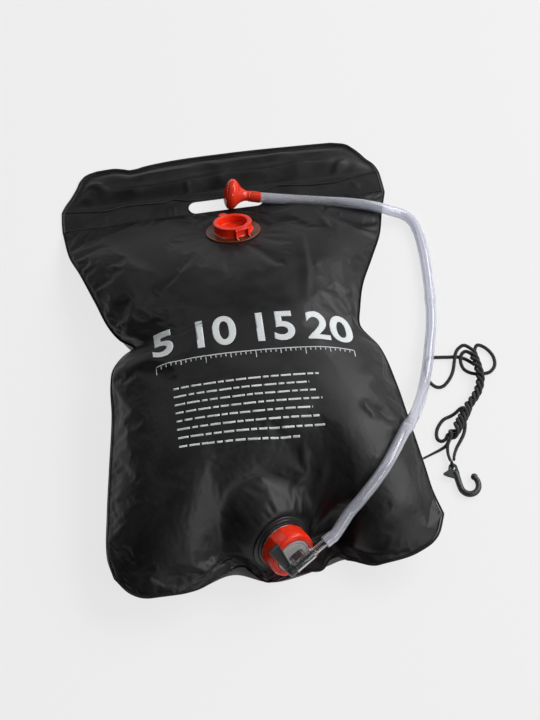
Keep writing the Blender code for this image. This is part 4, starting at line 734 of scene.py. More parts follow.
# bag, two sheets of film welded all round; the outline and levels are the CAD's own
bag = {
    "halfWidth": 0.2015, "topY": 0.220, "length": 0.518, "film": 0.0006, "crown": 0.098, "seamRise": 0.048,
    "rise": 0.52, "fall": 0.60, "hem": 0.085, "sidePower": 2.6, "sideRound": 0.60, "endPower": 3.0, "endRound": 0.58,
    "belly": 1.25, "dimpleDepth": 0.32, "dimpleX": 0.078, "dimpleY": 0.080, "hemSwell": 0.45,
    "columns": 112, "rows": 144, "simFrames": 18, "simReach": 0.0045, "pucker": 0.00054, "quilt": 0.0010,
    "fineQuilt": 0.00045,
    # along the side: share of the length, of the half width and of the seam's rise, in thousandths
    "leftSeam": (
        (0, 1000, 0), (93, 978, 290), (158, 933, 560), (259, 864, 790), (347, 799, 920), (380, 749, 940),
        (407, 680, 960), (421, 739, 940), (452, 814, 920), (485, 839, 900), (569, 859, 880), (695, 913, 830),
        (801, 958, 790),
        (898, 987, 790), (945, 966, 750)),
    "rightSeam": (
        (0, 1000, 0), (69, 943, 150), (143, 888, 330), (224, 794, 580), (305, 695, 750), (376, 640, 880),
        (421, 615, 920), (490, 700, 900), (585, 744, 880), (662, 764, 830), (801, 794, 790),
        (853, 804, 770), (911, 834, 750)),
    # across the bottom: place, then shares of the half width, the length and the rise
    "bottomSeam": (
        (-930, -903, 981, 790), (-800, -784, 1000, 790), (-550, -556, 996, 710), (-300, -328, 967, 500),
        (-100, -139, 981, 140), (60, 15, 973, 40), (190, 139, 963, 40), (320, 258, 956, 170), (520, 437, 996, 620),
        (780, 660, 985, 730), (930, 784, 953, 750)),
    # how far the front film's hem is drawn back from the rear film's, along x
    "hemPulls": (
        (-0.1250, 0.0), (-0.1000, 0.0015), (-0.0756, 0.0045), (-0.0560, 0.0120), (-0.0450, 0.0050), (-0.0360, -0.0030),
        (-0.0280, -0.0060), (0.0, -0.0038), (0.0300, -0.0035), (0.0380, 0.0060), (0.0480, 0.0070), (0.0580, 0.0)),
}


def throughTable(rows, at):
    # smooth curve through a table that never overshoots, at many places at once
    rows, at = np.array(rows), np.atleast_1d(np.array(at, float))
    keys, made = rows[:, 0], []
    i = np.clip(np.searchsorted(keys, at) - 1, 0, len(keys) - 2)
    width = keys[i + 1] - keys[i]
    t = (at - keys[i]) / width
    for values in rows.T[1:]:
        steps = np.diff(values) / np.diff(keys)
        slopes = np.concatenate([[steps[0]], (steps[1:] + steps[:-1]) / 2, [steps[-1]]])
        slopes[1:-1][steps[1:] * steps[:-1] <= 0] = 0.0
        made.append(values[i] * (1 + 2 * t) * (1 - t) ** 2 + values[i + 1] * t * t * (3 - 2 * t)
                    + width * (slopes[i] * t * (1 - t) ** 2 - slopes[i + 1] * t * t * (1 - t)))
    return made


def seamPlaces(out, down, up):
    return np.stack([out * bag["halfWidth"], bag["topY"] - down * bag["length"], up * bag["seamRise"]], axis=-1)


def seamPoints(side, down):
    table = np.array(bag["leftSeam" if side < 0 else "rightSeam"]) / 1000
    at = np.atleast_1d(down) * table[-1][0]
    out, up = throughTable(table, at)
    return seamPlaces(side * out, at, up)


def bottomPoints(across):
    scale = bag["halfWidth"], bag["length"], bag["seamRise"]
    first, last = [((x / scale[0]), (bag["topY"] - y) / scale[1], z / scale[2])
                   for x, y, z in (seamPoints(side, 1.0)[0] for side in (-1, 1))]
    return seamPlaces(*throughTable([(-1.0, *first), *(np.array(bag["bottomSeam"]) / 1000), (1.0, *last)], across))


def filmShares(columns, rows):
    # across and down, closer together towards the welds
    u, share = np.linspace(-1, 1, columns + 1), np.linspace(0, 1, rows + 1)
    return np.sin(math.pi / 2 * u) * 0.35 + u * 0.65, share + 0.10 * np.sin(math.pi * share) * share


def filmGrid(across, down):
    # places of the front sheet's outside and the rear sheet's outside over a grid of shares
    b, s, d = bag, ((across + 1) / 2)[None, :, None], down[:, None, None]
    left, right = seamPoints(-1, down)[:, None], seamPoints(1, down)[:, None]
    top = seamPlaces(across, 0 * across, 0 * across)[None]
    corner = [seamPoints(side, end)[0] for end in (0.0, 1.0) for side in (-1, 1)]
    flat = (1 - s) * (1 - d) * corner[0] + s * (1 - d) * corner[1] + (1 - s) * d * corner[2] + s * d * corner[3]
    plane = (1 - s) * left + s * right + (1 - d) * top + d * bottomPoints(across)[None] - flat
    x, y, level = plane[..., 0], plane[..., 1], plane[..., 2].copy()
    offX, offY = (x - outlet["face"][0]) / b["dimpleX"], (y - outlet["face"][1]) / b["dimpleY"]
    rise = np.sin(math.pi / 2 * np.minimum(1.0, down / b["rise"]))[:, None]
    fall = np.maximum(0.0, (down[:, None] - b["fall"]) / (1.0 - b["hem"] * np.exp(-offX ** 2) - b["fall"]))
    full = rise * np.maximum(0.0, 1.0 - fall ** b["endPower"]) ** b["endRound"]
    side = (1.0 - np.minimum(1.0, np.abs(across)) ** b["sidePower"]) ** b["sideRound"]
    first, second = b["crown"] * full - level, (b["crown"] - level) * full * b["hemSwell"]
    swell = (first + second + np.sqrt((first - second) ** 2 + 0.012 ** 2)) / 2
    swell *= side[None, :] * (1.0 - down ** 50)[:, None]
    swell *= 1.0 - b["dimpleDepth"] * np.exp(-offX ** 2 - offY ** 2)
    level += b["film"] + gap
    belly = level * np.minimum(1.0, b["belly"] * ((1.0 - np.abs(across) ** 4)[None, :] * (1.0 - down ** 10)[:, None]))
    rear = np.maximum(0.0, level - b["film"] - gap - belly)
    return np.stack([x, y, level + swell + b["film"]], axis=-1), np.stack([x, y, rear], axis=-1)


def gridNormals(grid):
    normal = np.cross(np.gradient(grid, axis=0), np.gradient(grid, axis=1))
    normal /= np.maximum(np.linalg.norm(normal, axis=-1), 1e-12)[..., None]
    return np.where(normal[..., 2:3] < 0, -normal, normal)


# folds of the front sheet: height, half width, steeper side, taper, then x and y in turn; lengths in mm
folds = (
    # left shoulder and waist
    (5.0, 15.0, 0.0, 0.45, -196, 212, -164, 159, -132, 110, -100, 64, -75, 33),
    (-5.0, 14.0, 0.0, 0.50, -160, 76, -139, 47, -117, 17, -100, -12),
    (-2.2, 5.0, 0.3, 0.40, -135, -6, -123, -13, -109, -12, -94, -8),
    (2.0, 8.0, 0.0, 0.50, -133, -24, -118, -38, -100, -47),
    (1.6, 6.0, 0.2, 0.50, -166, -74, -162, -110, -160, -141, -163, -172),
    # right shoulder, waist and hip
    (2.2, 4.5, 0.2, 0.50, 111, 185, 113, 160, 115, 133),
    (1.6, 6.0, 0.0, 0.50, 142, 194, 133, 162, 122, 132, 109, 104),
    (1.4, 6.0, 0.3, 0.45, 83, 170, 78, 117, 73, 58, 63, 17, 54, -11),
    (4.0, 5.5, 0.45, 0.28, 101, 36, 102, 24, 108, 6, 117, -9, 128, -28),
    (-3.0, 5.5, 0.0, 0.40, 111, 28, 116, 12, 124, 2, 129, -16),
    (2.6, 6.0, 0.2, 0.50, 136, 51, 122, 38, 109, 32),
    (2.0, 8.0, 0.0, 0.50, 118, -71, 121, -90, 126, -108),
    # under the hose
    (2.4, 5.0, 0.0, 0.35, 101, -121, 102, -134, 108, -144, 117, -150),
    (-4.5, 6.5, -0.2, 0.40, 112, -126, 118, -135, 128, -144, 139, -149),
    (2.0, 5.0, 0.2, 0.50, 116, -153, 127, -158, 138, -161),
    (1.2, 4.0, 0.0, 0.50, 100, -192, 102, -198),
    # round the outlet
    (3.2, 4.2, 0.35, 0.30, -15, -231, -10, -223, -2, -214, 6, -206, 17, -201, 29, -199),
    (2.2, 4.0, 0.3, 0.35, 6, -226, 10, -218, 15, -210, 25, -205),
    (-2.0, 4.5, 0.0, 0.40, -6, -228, 1, -220, 9, -212),
    (2.6, 6.5, 0.0, 0.40, -31, -237, -26, -224, -24, -212, -23, -200, -23, -188),
    (1.4, 6.0, 0.0, 0.50, -46, -241, -43, -226, -42, -210),
    (1.4, 6.0, 0.2, 0.50, 27, -217, 38, -205, 48, -189, 55, -175),
    (1.4, 6.0, 0.2, 0.50, 37, -220, 53, -209, 63, -198),
    (1.0, 6.0, 0.2, 0.50, 20, -191, 24, -179, 29, -165),
    # lobes at the bottom
    (-7.0, 14.0, 0.0, 0.40, 28, -261, 42, -249, 56, -248, 67, -239, 76, -223),
    (4.0, 16.0, 0.0, 0.45, 58, -269, 76, -263, 101, -251, 129, -240, 151, -229),
    (2.5, 7.0, 0.35, 0.40, -60, -264, -81, -279, -106, -289, -133, -294),
    (-1.6, 4.5, 0.2, 0.50, -168, -276, -159, -273, -149, -271),
    (-1.6, 4.5, 0.2, 0.50, -151, -288, -141, -279, -131, -276),
    (-4.0, 9.0, 0.0, 0.45, -56, -258, -50, -248, -42, -237),
    (2.2, 7.0, 0.2, 0.50, 151, -129, 155, -156, 156, -188, 154, -208),
)


def foldLift(x, y, rows):
    # each fold is highest along its middle line and runs out at both ends
    lift = np.zeros_like(x)
    for height, width, lean, taper, *places in rows:
        run = np.array(places, float).reshape(-1, 2) / 1000.0
        best, value = np.full(x.shape, 1e9), np.zeros(x.shape)
        lengths = np.linalg.norm(np.diff(run, axis=0), axis=1)
        total, walked = lengths.sum(), 0.0
        for a, (wayX, wayY), length in zip(run, np.diff(run, axis=0), lengths):
            t = np.clip(((x - a[0]) * wayX + (y - a[1]) * wayY) / length ** 2, 0.0, 1.0)
            offX, offY = x - a[0] - wayX * t, y - a[1] - wayY * t
            away = np.hypot(offX, offY)
            at = (walked + t * length) / total
            fade = np.clip(np.minimum(at, 1 - at) / taper, 0.0, 1.0)
            reach = width / 1000.0 * np.where(wayX * offY - wayY * offX > 0, 1.0 - lean, 1.0 + lean)
            value = np.where(away < best, np.exp(-(away / reach) ** 2) * (fade * fade * (3 - 2 * fade)), value)
            best = np.minimum(best, away)
            walked += length
        lift += value * height / 1000.0
    return lift


def valueNoise(x, y, scale, seed):
    # smooth seeded noise from -1 to 1 over a plan grid
    flat = [noise.noise(Vector((a / scale, b / scale, seed))) for a, b in zip(x.ravel(), y.ravel())]
    return np.array(flat).reshape(x.shape)


def doubled(grid):
    # twice the rows and columns, on a smooth curve through the old ones
    for axis in (0, 1):
        g = np.moveaxis(grid, axis, 0)
        padded = np.concatenate([2 * g[:1] - g[1:2], g, 2 * g[-1:] - g[-2:-1]])
        made = np.empty((2 * len(g) - 1, *g.shape[1:]))
        made[0::2], made[1::2] = g, (9 * (padded[1:-2] + padded[2:-1]) - padded[:-3] - padded[3:]) / 16
        grid = np.moveaxis(made, 0, axis)
    return grid


clothSettings = {
    "quality": 6, "mass": 0.12, "tension_stiffness": 24.0, "compression_stiffness": 24.0, "shear_stiffness": 14.0,
    "bending_stiffness": 0.9, "tension_damping": 12.0, "compression_damping": 12.0, "shear_damping": 12.0,
    "bending_damping": 1.0, "air_damping": 4.0, "use_pressure": True, "uniform_pressure_force": 3.0,
    "shrink_min": -0.012, "vertex_group_mass": "held", "pin_stiffness": 2.0,
}


def relaxed(grid, pins):
    # lets the film settle as cloth under a little air, with its welds and fittings held
    sheet = newPiece("filmSheet", grid.reshape(-1, 3), gridFaces(*grid.shape[:2]), None, 0, False)
    sheet.vertex_groups.new(name="held").add(np.flatnonzero(pins.ravel() == 1.0).tolist(), 1.0, "REPLACE")
    step = sheet.modifiers.new("cloth", "CLOTH")
    for key, value in clothSettings.items():
        setattr(step.settings, key, value)
    step.settings.effector_weights.gravity = 0.0
    step.collision_settings.use_collision = False
    scene = bpy.context.scene
    scene.frame_start, scene.frame_end = 1, bag["simFrames"]
    step.point_cache.frame_end = bag["simFrames"]
    for k in range(1, bag["simFrames"] + 1):
        scene.frame_set(k)
    ended = sheet.evaluated_get(bpy.context.evaluated_depsgraph_get()).data
    places = np.empty(len(ended.vertices) * 3)
    ended.vertices.foreach_get("co", places)
    bpy.data.objects.remove(sheet)
    scene.frame_set(1)
    moved = places.reshape(grid.shape) - grid
    moved *= np.minimum(1.0, bag["simReach"] / np.maximum(np.linalg.norm(moved, axis=-1, keepdims=True), 1e-9))
    print("film settled, furthest", round(float(np.linalg.norm(moved, axis=-1).max()) * 1000, 2), "mm")
    return grid + moved * (1.0 - pins[..., None])


filler = {
    "origin": (0.00199, 0.16678, 0.03309), "tilt": 29.0, "flangeRadius": 0.0335, "flangeEdge": 0.0012,
    "flangeRoot": 0.0024, "wallFoot": 0.0009, "neckRadius": 0.0230, "neckBore": 0.0204, "neckHeight": 0.0108,
    "earHalfSpacing": 0.0080, "earThickness": 0.0018, "earTurn": -70.0, "hingeRadius": 0.0246, "hingeHeight": 0.0115,
    "earRound": 0.0019, "pinRadius": 0.0009, "footReach": 0.0305, "footHeight": 0.0030, "rimRadius": 0.0236,
    "rimThickness": 0.0024, "plugRadius": 0.0199, "plugTip": 0.0189, "cupRadius": 0.0178, "plugDepth": 0.0085,
    "cupFloor": 0.0015, "tabReach": 0.0068, "tabHalfWidth": 0.0065, "tabThickness": 0.0014, "bead": 0.00035,
}
fillerTilt, alongRow = math.radians(filler["tilt"]), Vector((1, 0, 0))
fillerAxis = Vector((0.0, math.sin(fillerTilt), math.cos(fillerTilt)))
fillerPlace = frameOf(Vector(filler["origin"]), alongRow, fillerAxis.cross(alongRow), fillerAxis)
spud = {
    "neck": 0.0225, "bore": 0.0140, "flange": 0.0330, "flangeThickness": 0.0018, "step": 0.0300, "stepHeight": 0.0016,
    "collar": 0.0262, "collarHeight": 0.0014, "washerThickness": 0.0010, "washerRadius": 0.0250,
    "gasketThickness": 0.0016, "line": 0.00045, "threadCrest": 0.0004, "threadPitch": 0.0022,
}
nut = {
    "flats": 12, "halfFlats": 0.0262, "height": 0.0220, "lip": 0.0030, "lipRadius": 0.0194, "bore": 0.0231,
    "chamfer": 0.0012, "rounding": 0.0060,
}
disc = {"flange": 0.0225, "thickness": 0.0030, "proud": 0.0006}
washerTop = -nut["height"] - gap
washerBack = washerTop - spud["washerThickness"]
collarTop = washerBack - gap
stepTop = collarTop - spud["collarHeight"]
flangeTop = stepTop - spud["stepHeight"]
spudBase = flangeTop - spud["flangeThickness"]
discBack = -nut["lip"] - gap - disc["thickness"]
gasketBack = discBack - gap - spud["gasketThickness"]
neckTop = gasketBack - gap


def moved(place, points):
    turn = np.array(place)
    return points @ turn[:3, :3].T + turn[:3, 3]


def centresIn(place, piece):
    return moved(place.inverted(), np.array([f.center for f in piece.data.polygons]))


def seated(grid, place, radius, level, reach):
    # brings the film to a fitting's flat underside and lets it run back to its own shape
    local = moved(place.inverted(), grid)
    r = np.hypot(local[..., 0], local[..., 1])
    t = np.clip((r - radius) / reach, 0.0, 1.0)
    near = (np.abs(local[..., 2] - level) < 0.075)
    local[..., 2] = np.where(near, level + (local[..., 2] - level) * (t * t * (3 - 2 * t)), local[..., 2])
    return moved(place, local), np.where(near, r, 1.0)


def hemmed(grid):
    # moves the last rows of a sheet up the bag where its hem is drawn back
    x, pulls = grid[..., 0], bag["hemPulls"]
    along = np.clip((np.linspace(0, 1, len(grid)) - 0.86) / 0.14, 0, 1)[:, None]
    back = throughTable(pulls, np.clip(x, pulls[0][0], pulls[-1][0]).ravel())[0]
    grid[..., 1] += back.reshape(x.shape) * along ** 2
    return grid


def makeFront(b):
    across, down = filmShares(b["columns"], b["rows"])
    grid, _ = filmGrid(across, down)
    x, y = grid[..., 0].copy(), grid[..., 1].copy()
    toEdge, toEnd, toTop = 1 - np.abs(across) + 0 * x, (1 - down)[:, None] + 0 * x, down[:, None] + 0 * x
    fade = np.clip(toEdge / 0.10, 0, 1) * np.clip(toEnd / 0.05, 0, 1) * np.clip(toTop / 0.04, 0, 1)
    lift = foldLift(x, y, folds)
    # the film gathers in short puckers along its welds
    around = np.where(toEdge < np.minimum(toEnd, toTop), y, x)
    rim = np.minimum(np.minimum(toEdge * 0.20, toEnd * 0.52), toTop * 0.52)
    ripple = np.sin(around * 2 * math.pi / 0.017 + valueNoise(x, y, 0.030, 3.1) * 4.0) * valueNoise(x, y, 0.055, 8.7)
    lift += b["pucker"] * ripple * np.exp(-(rim / 0.020) ** 2) * np.clip(rim / 0.006, 0, 1)
    lift += b["quilt"] * valueNoise(x, y, 0.075, 1.3) + b["fineQuilt"] * valueNoise(x, y, 0.028, 5.2)
    grid = grid + gridNormals(grid) * (lift * fade)[..., None]
    grid, fromFiller = seated(grid, fillerPlace, filler["flangeRadius"] + 0.002, -gap, 0.014)
    grid, fromOutlet = seated(grid, outletPlace, spud["flange"] + 0.0005, spudBase - gap, 0.027)
    pins = np.zeros_like(x)
    pins[:1], pins[-1:], pins[:, :1], pins[:, -1:] = 1, 1, 1, 1
    pins[fromFiller < filler["flangeRadius"] + 0.005] = 1
    pins[fromOutlet < spud["flange"] + 0.004] = 1
    grid = relaxed(grid, pins)
    return hemmed(doubled(grid))


def closedSheet(name, grid, underside, material, step=4):
    # the sheet as a closed solid: a fine outer side and a coarse underside that shares its edge
    rows, columns = grid.shape[:2]
    faces, points, inner = gridFaces(rows, columns), list(grid.reshape(-1, 3)), {}
    for j in range(step, rows - 1, step):
        for i in range(step, columns - 1, step):
            inner[(j, i)] = len(points)
            points.append(underside[j, i])
    for j in range(0, rows - 1, step):
        for i in range(0, columns - 1, step):
            ring = []
            for y, x, dy, dx in ((j, i, 0, 1), (j, i + step, 1, 0), (j + step, i + step, 0, -1), (j + step, i, -1, 0)):
                ring.append(inner.get((y, x), y * columns + x))
                onEdge = y in (0, rows - 1) if dy == 0 else x in (0, columns - 1)
                if onEdge and (y, x) not in inner and (y + dy * step, x + dx * step) not in inner:
                    ring += [(y + dy * k) * columns + x + dx * k for k in range(1, step)]
            faces.append(ring)
    return newPiece(name, points, faces, material, 60.0)


frontGrid = makeFront(bag)
_, plainRear = filmGrid(*filmShares(2 * bag["columns"], 2 * bag["rows"]))
underFront = plainRear.copy()
underFront[..., 2] += bag["film"] + gap
underFront = hemmed(underFront)
frontGrid[..., 2] = np.maximum(frontGrid[..., 2], underFront[..., 2] + bag["film"])
bagFront = closedSheet("bagFront", frontGrid, underFront, blackFilm)
settle(bagFront, "root", "black_film", "bag_front")
print("front sheet", len(bagFront.data.polygons), "faces")


def makeRear():
    # smoky rear film, on the ground and up to the welds, with shallow wrinkles
    grid = plainRear[::3, ::2].copy()
    wave = 0.0010 * (valueNoise(grid[..., 0], grid[..., 1], 0.03, 4.4) + 1.0) * np.clip(grid[..., 2] / 0.004, 0, 1)
    wave[0], wave[-1], wave[:, 0], wave[:, -1] = 0, 0, 0, 0
    grid[..., 2] += wave * 0.5
    return shell("bagRear", grid + (0, 0, bag["film"] * 0.8), grid, smokeFilm)


bagRear = makeRear()
settle(bagRear, "root", "smoke_film", "bag_rear")

# header, a welded band with the carrying slot and a puffed pocket above it
header = {
    "band": 0.031, "pocket": 0.057, "crown": 0.013, "margin": 0.005, "columns": 200, "bandRows": 18,
    "pocketRows": 42, "slotLength": 0.094, "slotWidth": 0.019, "slotX": 0.003, "slotAbove": 0.0135,
    "leftEdge": ((0.0, 0.1995), (0.18, 0.1935), (0.33, 0.187), (0.58, 0.178), (0.84, 0.1695), (0.95, 0.161),
                 (1.0, 0.150)),
    "rightEdge": ((0.0, 0.2008), (0.15, 0.1985), (0.27, 0.1955), (0.41, 0.189), (0.60, 0.1825), (0.80, 0.174),
                  (0.93, 0.165), (1.0, 0.150)),
    # above a straight top, in metres
    "topEdge": ((-0.150, 0.0004), (-0.131, 0.0012), (-0.118, -0.0015), (-0.109, -0.0043), (-0.100, -0.0036),
                (-0.090, -0.0014), (-0.054, 0.0022), (0.020, 0.0032), (0.111, 0.0006), (0.150, -0.0012)),
    # folds of the pocket and the band, as the bag's are given
    "folds": (
        (3.6, 4.6, 0.3, 0.16, -152, 271, -141, 268, -101, 266, -60, 267, 9, 272, 54, 269, 102, 273, 156, 273),
        (2.8, 3.6, 0.3, 0.35, 54, 250, 66, 252, 79, 255, 99, 259, 128, 259),
        (3.2, 4.0, 0.2, 0.35, 139, 246, 143, 255, 152, 266, 166, 272),
        (2.6, 3.6, 0.2, 0.40, 147, 250, 156, 254, 170, 259, 184, 263),
        (3.0, 4.6, 0.2, 0.40, -175, 292, -154, 281, -136, 270), (2.4, 4.6, 0.0, 0.40, -180, 270, -162, 259, -146, 251),
        (2.0, 3.0, 0.0, 0.40, -42, 270, -41, 260, -39, 251), (1.2, 5.0, 0.0, 0.45, 20, 291, 60, 295, 110, 299),
        (1.4, 5.0, 0.0, 0.45, -110, 288, -60, 290, -20, 292), (0.8, 1.9, 0.0, 0.30, -68, 243, -69, 232, -70, 221),
        (0.8, 1.9, 0.0, 0.30, -62, 243, -63, 232, -64, 221), (0.8, 3.0, 0.0, 0.45, 120, 246, 128, 238, 140, 232),
        (0.8, 3.4, 0.0, 0.45, 160, 248, 168, 238, 176, 228), (0.6, 3.4, 0.0, 0.45, -150, 246, -148, 236, -152, 226)),
}


def makeHeader(h):
    b = bag
    thick = 2 * b["film"] + gap
    across = np.linspace(-1, 1, h["columns"] + 1)
    across = np.sin(math.pi / 2 * across) * 0.3 + across * 0.7
    rows = []
    for share in (k / h["bandRows"] for k in range(h["bandRows"])):
        y = b["topY"] + gap + (h["band"] - gap) * share
        left, right = (b["halfWidth"] + (h[side][0][1] - b["halfWidth"]) * share ** 2
                       for side in ("leftEdge", "rightEdge"))
        rows.append([across * (left + right) / 2 + (right - left) / 2, np.full_like(across, y), 0 * across])
    for share in np.linspace(0, 1, h["pocketRows"] + 1):
        bow = math.sin(math.pi / 2 * min(share + 0.06 * math.sin(math.pi * share), 1.0))
        left, right = (float(throughTable(h[side], bow)[0][0]) for side in ("leftEdge", "rightEdge"))
        half = (left + right) / 2
        x = across * half + (right - left) / 2
        edge = throughTable(h["topEdge"], np.clip(x, -0.150, 0.150))[0]
        insetY = min(h["pocket"] * bow, h["pocket"] * (1 - bow)) / h["margin"]
        insetX = np.maximum(0.0, half * (1 - np.abs(across)) / h["margin"] - 1.0)
        swell = math.sin(math.pi * (0.06 + 0.88 * bow)) ** 0.6
        swell = swell * (1 - np.exp(-insetX / 3.0)) * (1 - math.exp(-max(0.0, insetY - 1.0) / 1.5))
        rows.append([x, b["topY"] + h["band"] + (h["pocket"] + edge) * bow, swell])
    x, y, swell = np.moveaxis(np.array(rows), 1, 0)
    edgeX = np.clip((b["halfWidth"] - np.abs(x)) / 0.012, 0, 1)
    inBand = np.clip((b["topY"] + h["band"] - 0.002 - y) / 0.004, 0, 1) * np.clip((y - b["topY"] - 0.003) / 0.004, 0, 1)
    weight = np.maximum(np.clip(swell * 1.6, 0, 1), inBand * 0.9) * edgeX
    quilt = 0.0016 * valueNoise(x, y, 0.034, 2.2) + 0.0008 * valueNoise(x * 0.5, y, 0.012, 6.1)
    lift = foldLift(x, y, h["folds"]) + quilt
    z = thick + h["crown"] * 0.90 * swell + np.maximum(lift * weight, -h["crown"] * 0.5 * swell - 0.0002)
    grid = np.stack([x, y, np.maximum(z, thick - 0.0001)], axis=-1)
    piece = shell("headerFilm", grid, grid * (1, 1, 0), blackFilm)
    slot = slab("slot", stadium(h["slotLength"] / 2, h["slotWidth"] / 2, 20), -0.01, 0.03)
    combine(piece, placed(slot, Matrix.Translation((h["slotX"], b["topY"] + h["slotAbove"], 0.0))))
    return shaded(piece, 60), grid


headerFilm, headerGrid = makeHeader(header)
settle(headerFilm, "root", "black_film", "header")
print("header", len(headerFilm.data.polygons), "faces")

# filler, a flanged neck with a hinged cap; blocks for the hinge are drawn standing in its plane
hinge = fillerPlace @ Matrix.Rotation(math.radians(filler["earTurn"]), 4, "Z")
hingeSide = hinge @ Matrix(((1, 0, 0, 0), (0, 0, -1, 0), (0, 1, 0, 0), (0, 0, 0, 1)))
axlePoint = filler["hingeRadius"], 0.0, filler["hingeHeight"]
axle = hinge @ Matrix.Translation(axlePoint) @ Matrix.Rotation(math.pi / 2, 4, "X")


def makeFlange(f):
    neck, bore, outer, edge, top, bead = (
        f[k] for k in ("neckRadius", "neckBore", "flangeRadius", "flangeEdge", "flangeRoot", "bead"))
    root, tall, r = neck + f["wallFoot"], f["neckHeight"], f["earRound"]
    foot, footHigh = f["footReach"], f["footHeight"]
    outline = [
        (bore, 0.0), (outer, 0.0), (outer, edge), (outer - bead * 1.5, edge + bead), (outer - bead * 4.5, edge + bead),
        (outer - bead * 6, edge + bead * 0.4), (root + 0.0022, top - bead * 1.4), (root + 0.0016, top), (root, top),
        (neck, top + edge), (neck, tall), (bore, tall)]
    flange = placed(turned("fillerFlange", rounded(outline, 0.0004), None, 128), fillerPlace)
    wall, pinX, pinY = (neck + bore) / 2, f["hingeRadius"], f["hingeHeight"]
    side = [(wall, edge / 2), (foot, edge / 2), (foot - r * 0.5, footHigh * 0.75), (foot - r, footHigh),
            (pinX + r * 1.3, footHigh + r * 0.5), (pinX + r, footHigh + r * 1.4)]
    side += [(pinX + x, pinY + y) for x, y in arc(r, 16, 0.0, range(17))] + [(pinX - r, tall - r), (wall, tall - r)]
    for middle in (-f["earHalfSpacing"], f["earHalfSpacing"]):
        ear = slab("ear", side, middle - f["earThickness"] / 2, middle + f["earThickness"] / 2, 0.00025, 2)
        combine(flange, placed(ear, hingeSide), "UNION")
    combine(flange, placed(drum("pinHole", f["pinRadius"] + gap, -0.012, 0.012, 32), axle))
    x, y, z = moved(fillerPlace.inverted(), coordinates(flange)).T
    r = np.hypot(x, y)
    onSkirt = np.clip((r - root - 0.0002) / 0.0008, 0, 1) * np.clip((edge * 2.4 - z) / 0.0004, 0, 1)
    rim = np.exp(-((r - outer + bead * 3) / (bead * 1.6)) ** 2) * (z > edge)
    made = flange.data.attributes.new("thickness", "FLOAT", "POINT")
    made.data.foreach_set("value", np.maximum(1.0 - onSkirt, 0.30 * rim).astype(np.float32))
    return finished(flange, 38, flangeVinyl)


def makeCap(f):
    seat, rim, tip, cup = f["neckHeight"] + gap, f["rimRadius"], f["plugTip"], f["cupRadius"]
    low, top, edge = seat - f["plugDepth"], seat + f["rimThickness"], f["rimThickness"] / 4
    floor, dome = low + f["cupFloor"], 0.0006
    outline = [
        (0.0, low), (tip - 0.0010, low), (tip, low + 0.0010), (tip, low + 0.0034), (tip + dome, low + 0.0040),
        (tip + dome, low + 0.0048), (tip, low + 0.0054), (f["plugRadius"], seat), (rim, seat), (rim, top - edge),
        (rim - edge, top), (cup + edge, top), (cup, top - edge), (cup - edge, floor + 0.0008), (cup - edge * 2.5, floor),
        (0.0060, floor), (0.0056, floor + 0.0003), (0.0048, floor + 0.0003), (0.0044, floor), (0.0012, floor),
        (0.0009, floor + 0.0004), (0.0, floor + 0.0004)]
    cap = placed(turned("fillerCap", rounded(outline, 0.0005), None, 128), fillerPlace)
    ear, ears, pinX, pinY = f["earRound"], f["earHalfSpacing"], f["hingeRadius"], f["hingeHeight"]
    near, reach, knuckle = pinX - ear - 2 * gap, ears + f["earThickness"], ear * 0.8
    combine(cap, placed(slab("chord", box(near, rim + 0.003, -reach, reach), seat - gap, top + 0.003), hinge))
    inner, half = ears - f["earThickness"] / 2 - gap, ears + f["earThickness"] / 2
    side = [(near - 0.0015, seat), (f["neckRadius"] + gap, seat), (pinX, pinY - knuckle)]
    side += [(pinX + x, pinY + y) for x, y in arc(knuckle, 14, -0.5, range(1, 14))] + [(near - 0.0015, pinY + knuckle)]
    combine(cap, placed(slab("tongue", side, -inner, inner, 0.0002, 2), hingeSide), "UNION")
    r = f["pinRadius"]
    pin = turned("pin", rounded([(0, -half), (r, -half), (r, half), (0, half)], 0.0002), None, 32)
    combine(cap, placed(pin, axle), "UNION")
    wide = f["tabHalfWidth"]
    ends = [(0.0030 - rim - f["tabReach"] - 0.0030 * x, -wide * 0.75 * y) for x, y in arc(1.0, 12, -0.5, range(13))]
    tab = slab("tab", [(-cup - 0.0009, wide), *ends, (-cup - 0.0009, -wide)],
               top - f["tabThickness"] - edge, top - edge, 0.0004)
    combine(cap, placed(tab, hinge), "UNION")
    ridge = slab("ridge", stadium(wide * 0.55, 0.0006, 8), 0.0, f["tabThickness"], 0.0002, 2)
    lifted = Matrix.Translation((-rim - f["tabReach"] * 0.68, 0.0, top - f["tabThickness"]))
    combine(cap, placed(ridge, hinge @ lifted @ Matrix.Rotation(math.pi / 2, 4, "Z")), "UNION")
    return finished(cap, 38, redVinyl)


settle(makeFlange(filler), "root", "flange_vinyl", "filler_flange")
settle(makeCap(filler), "filler_cap", "red_vinyl", "filler_cap")
print("filler done")


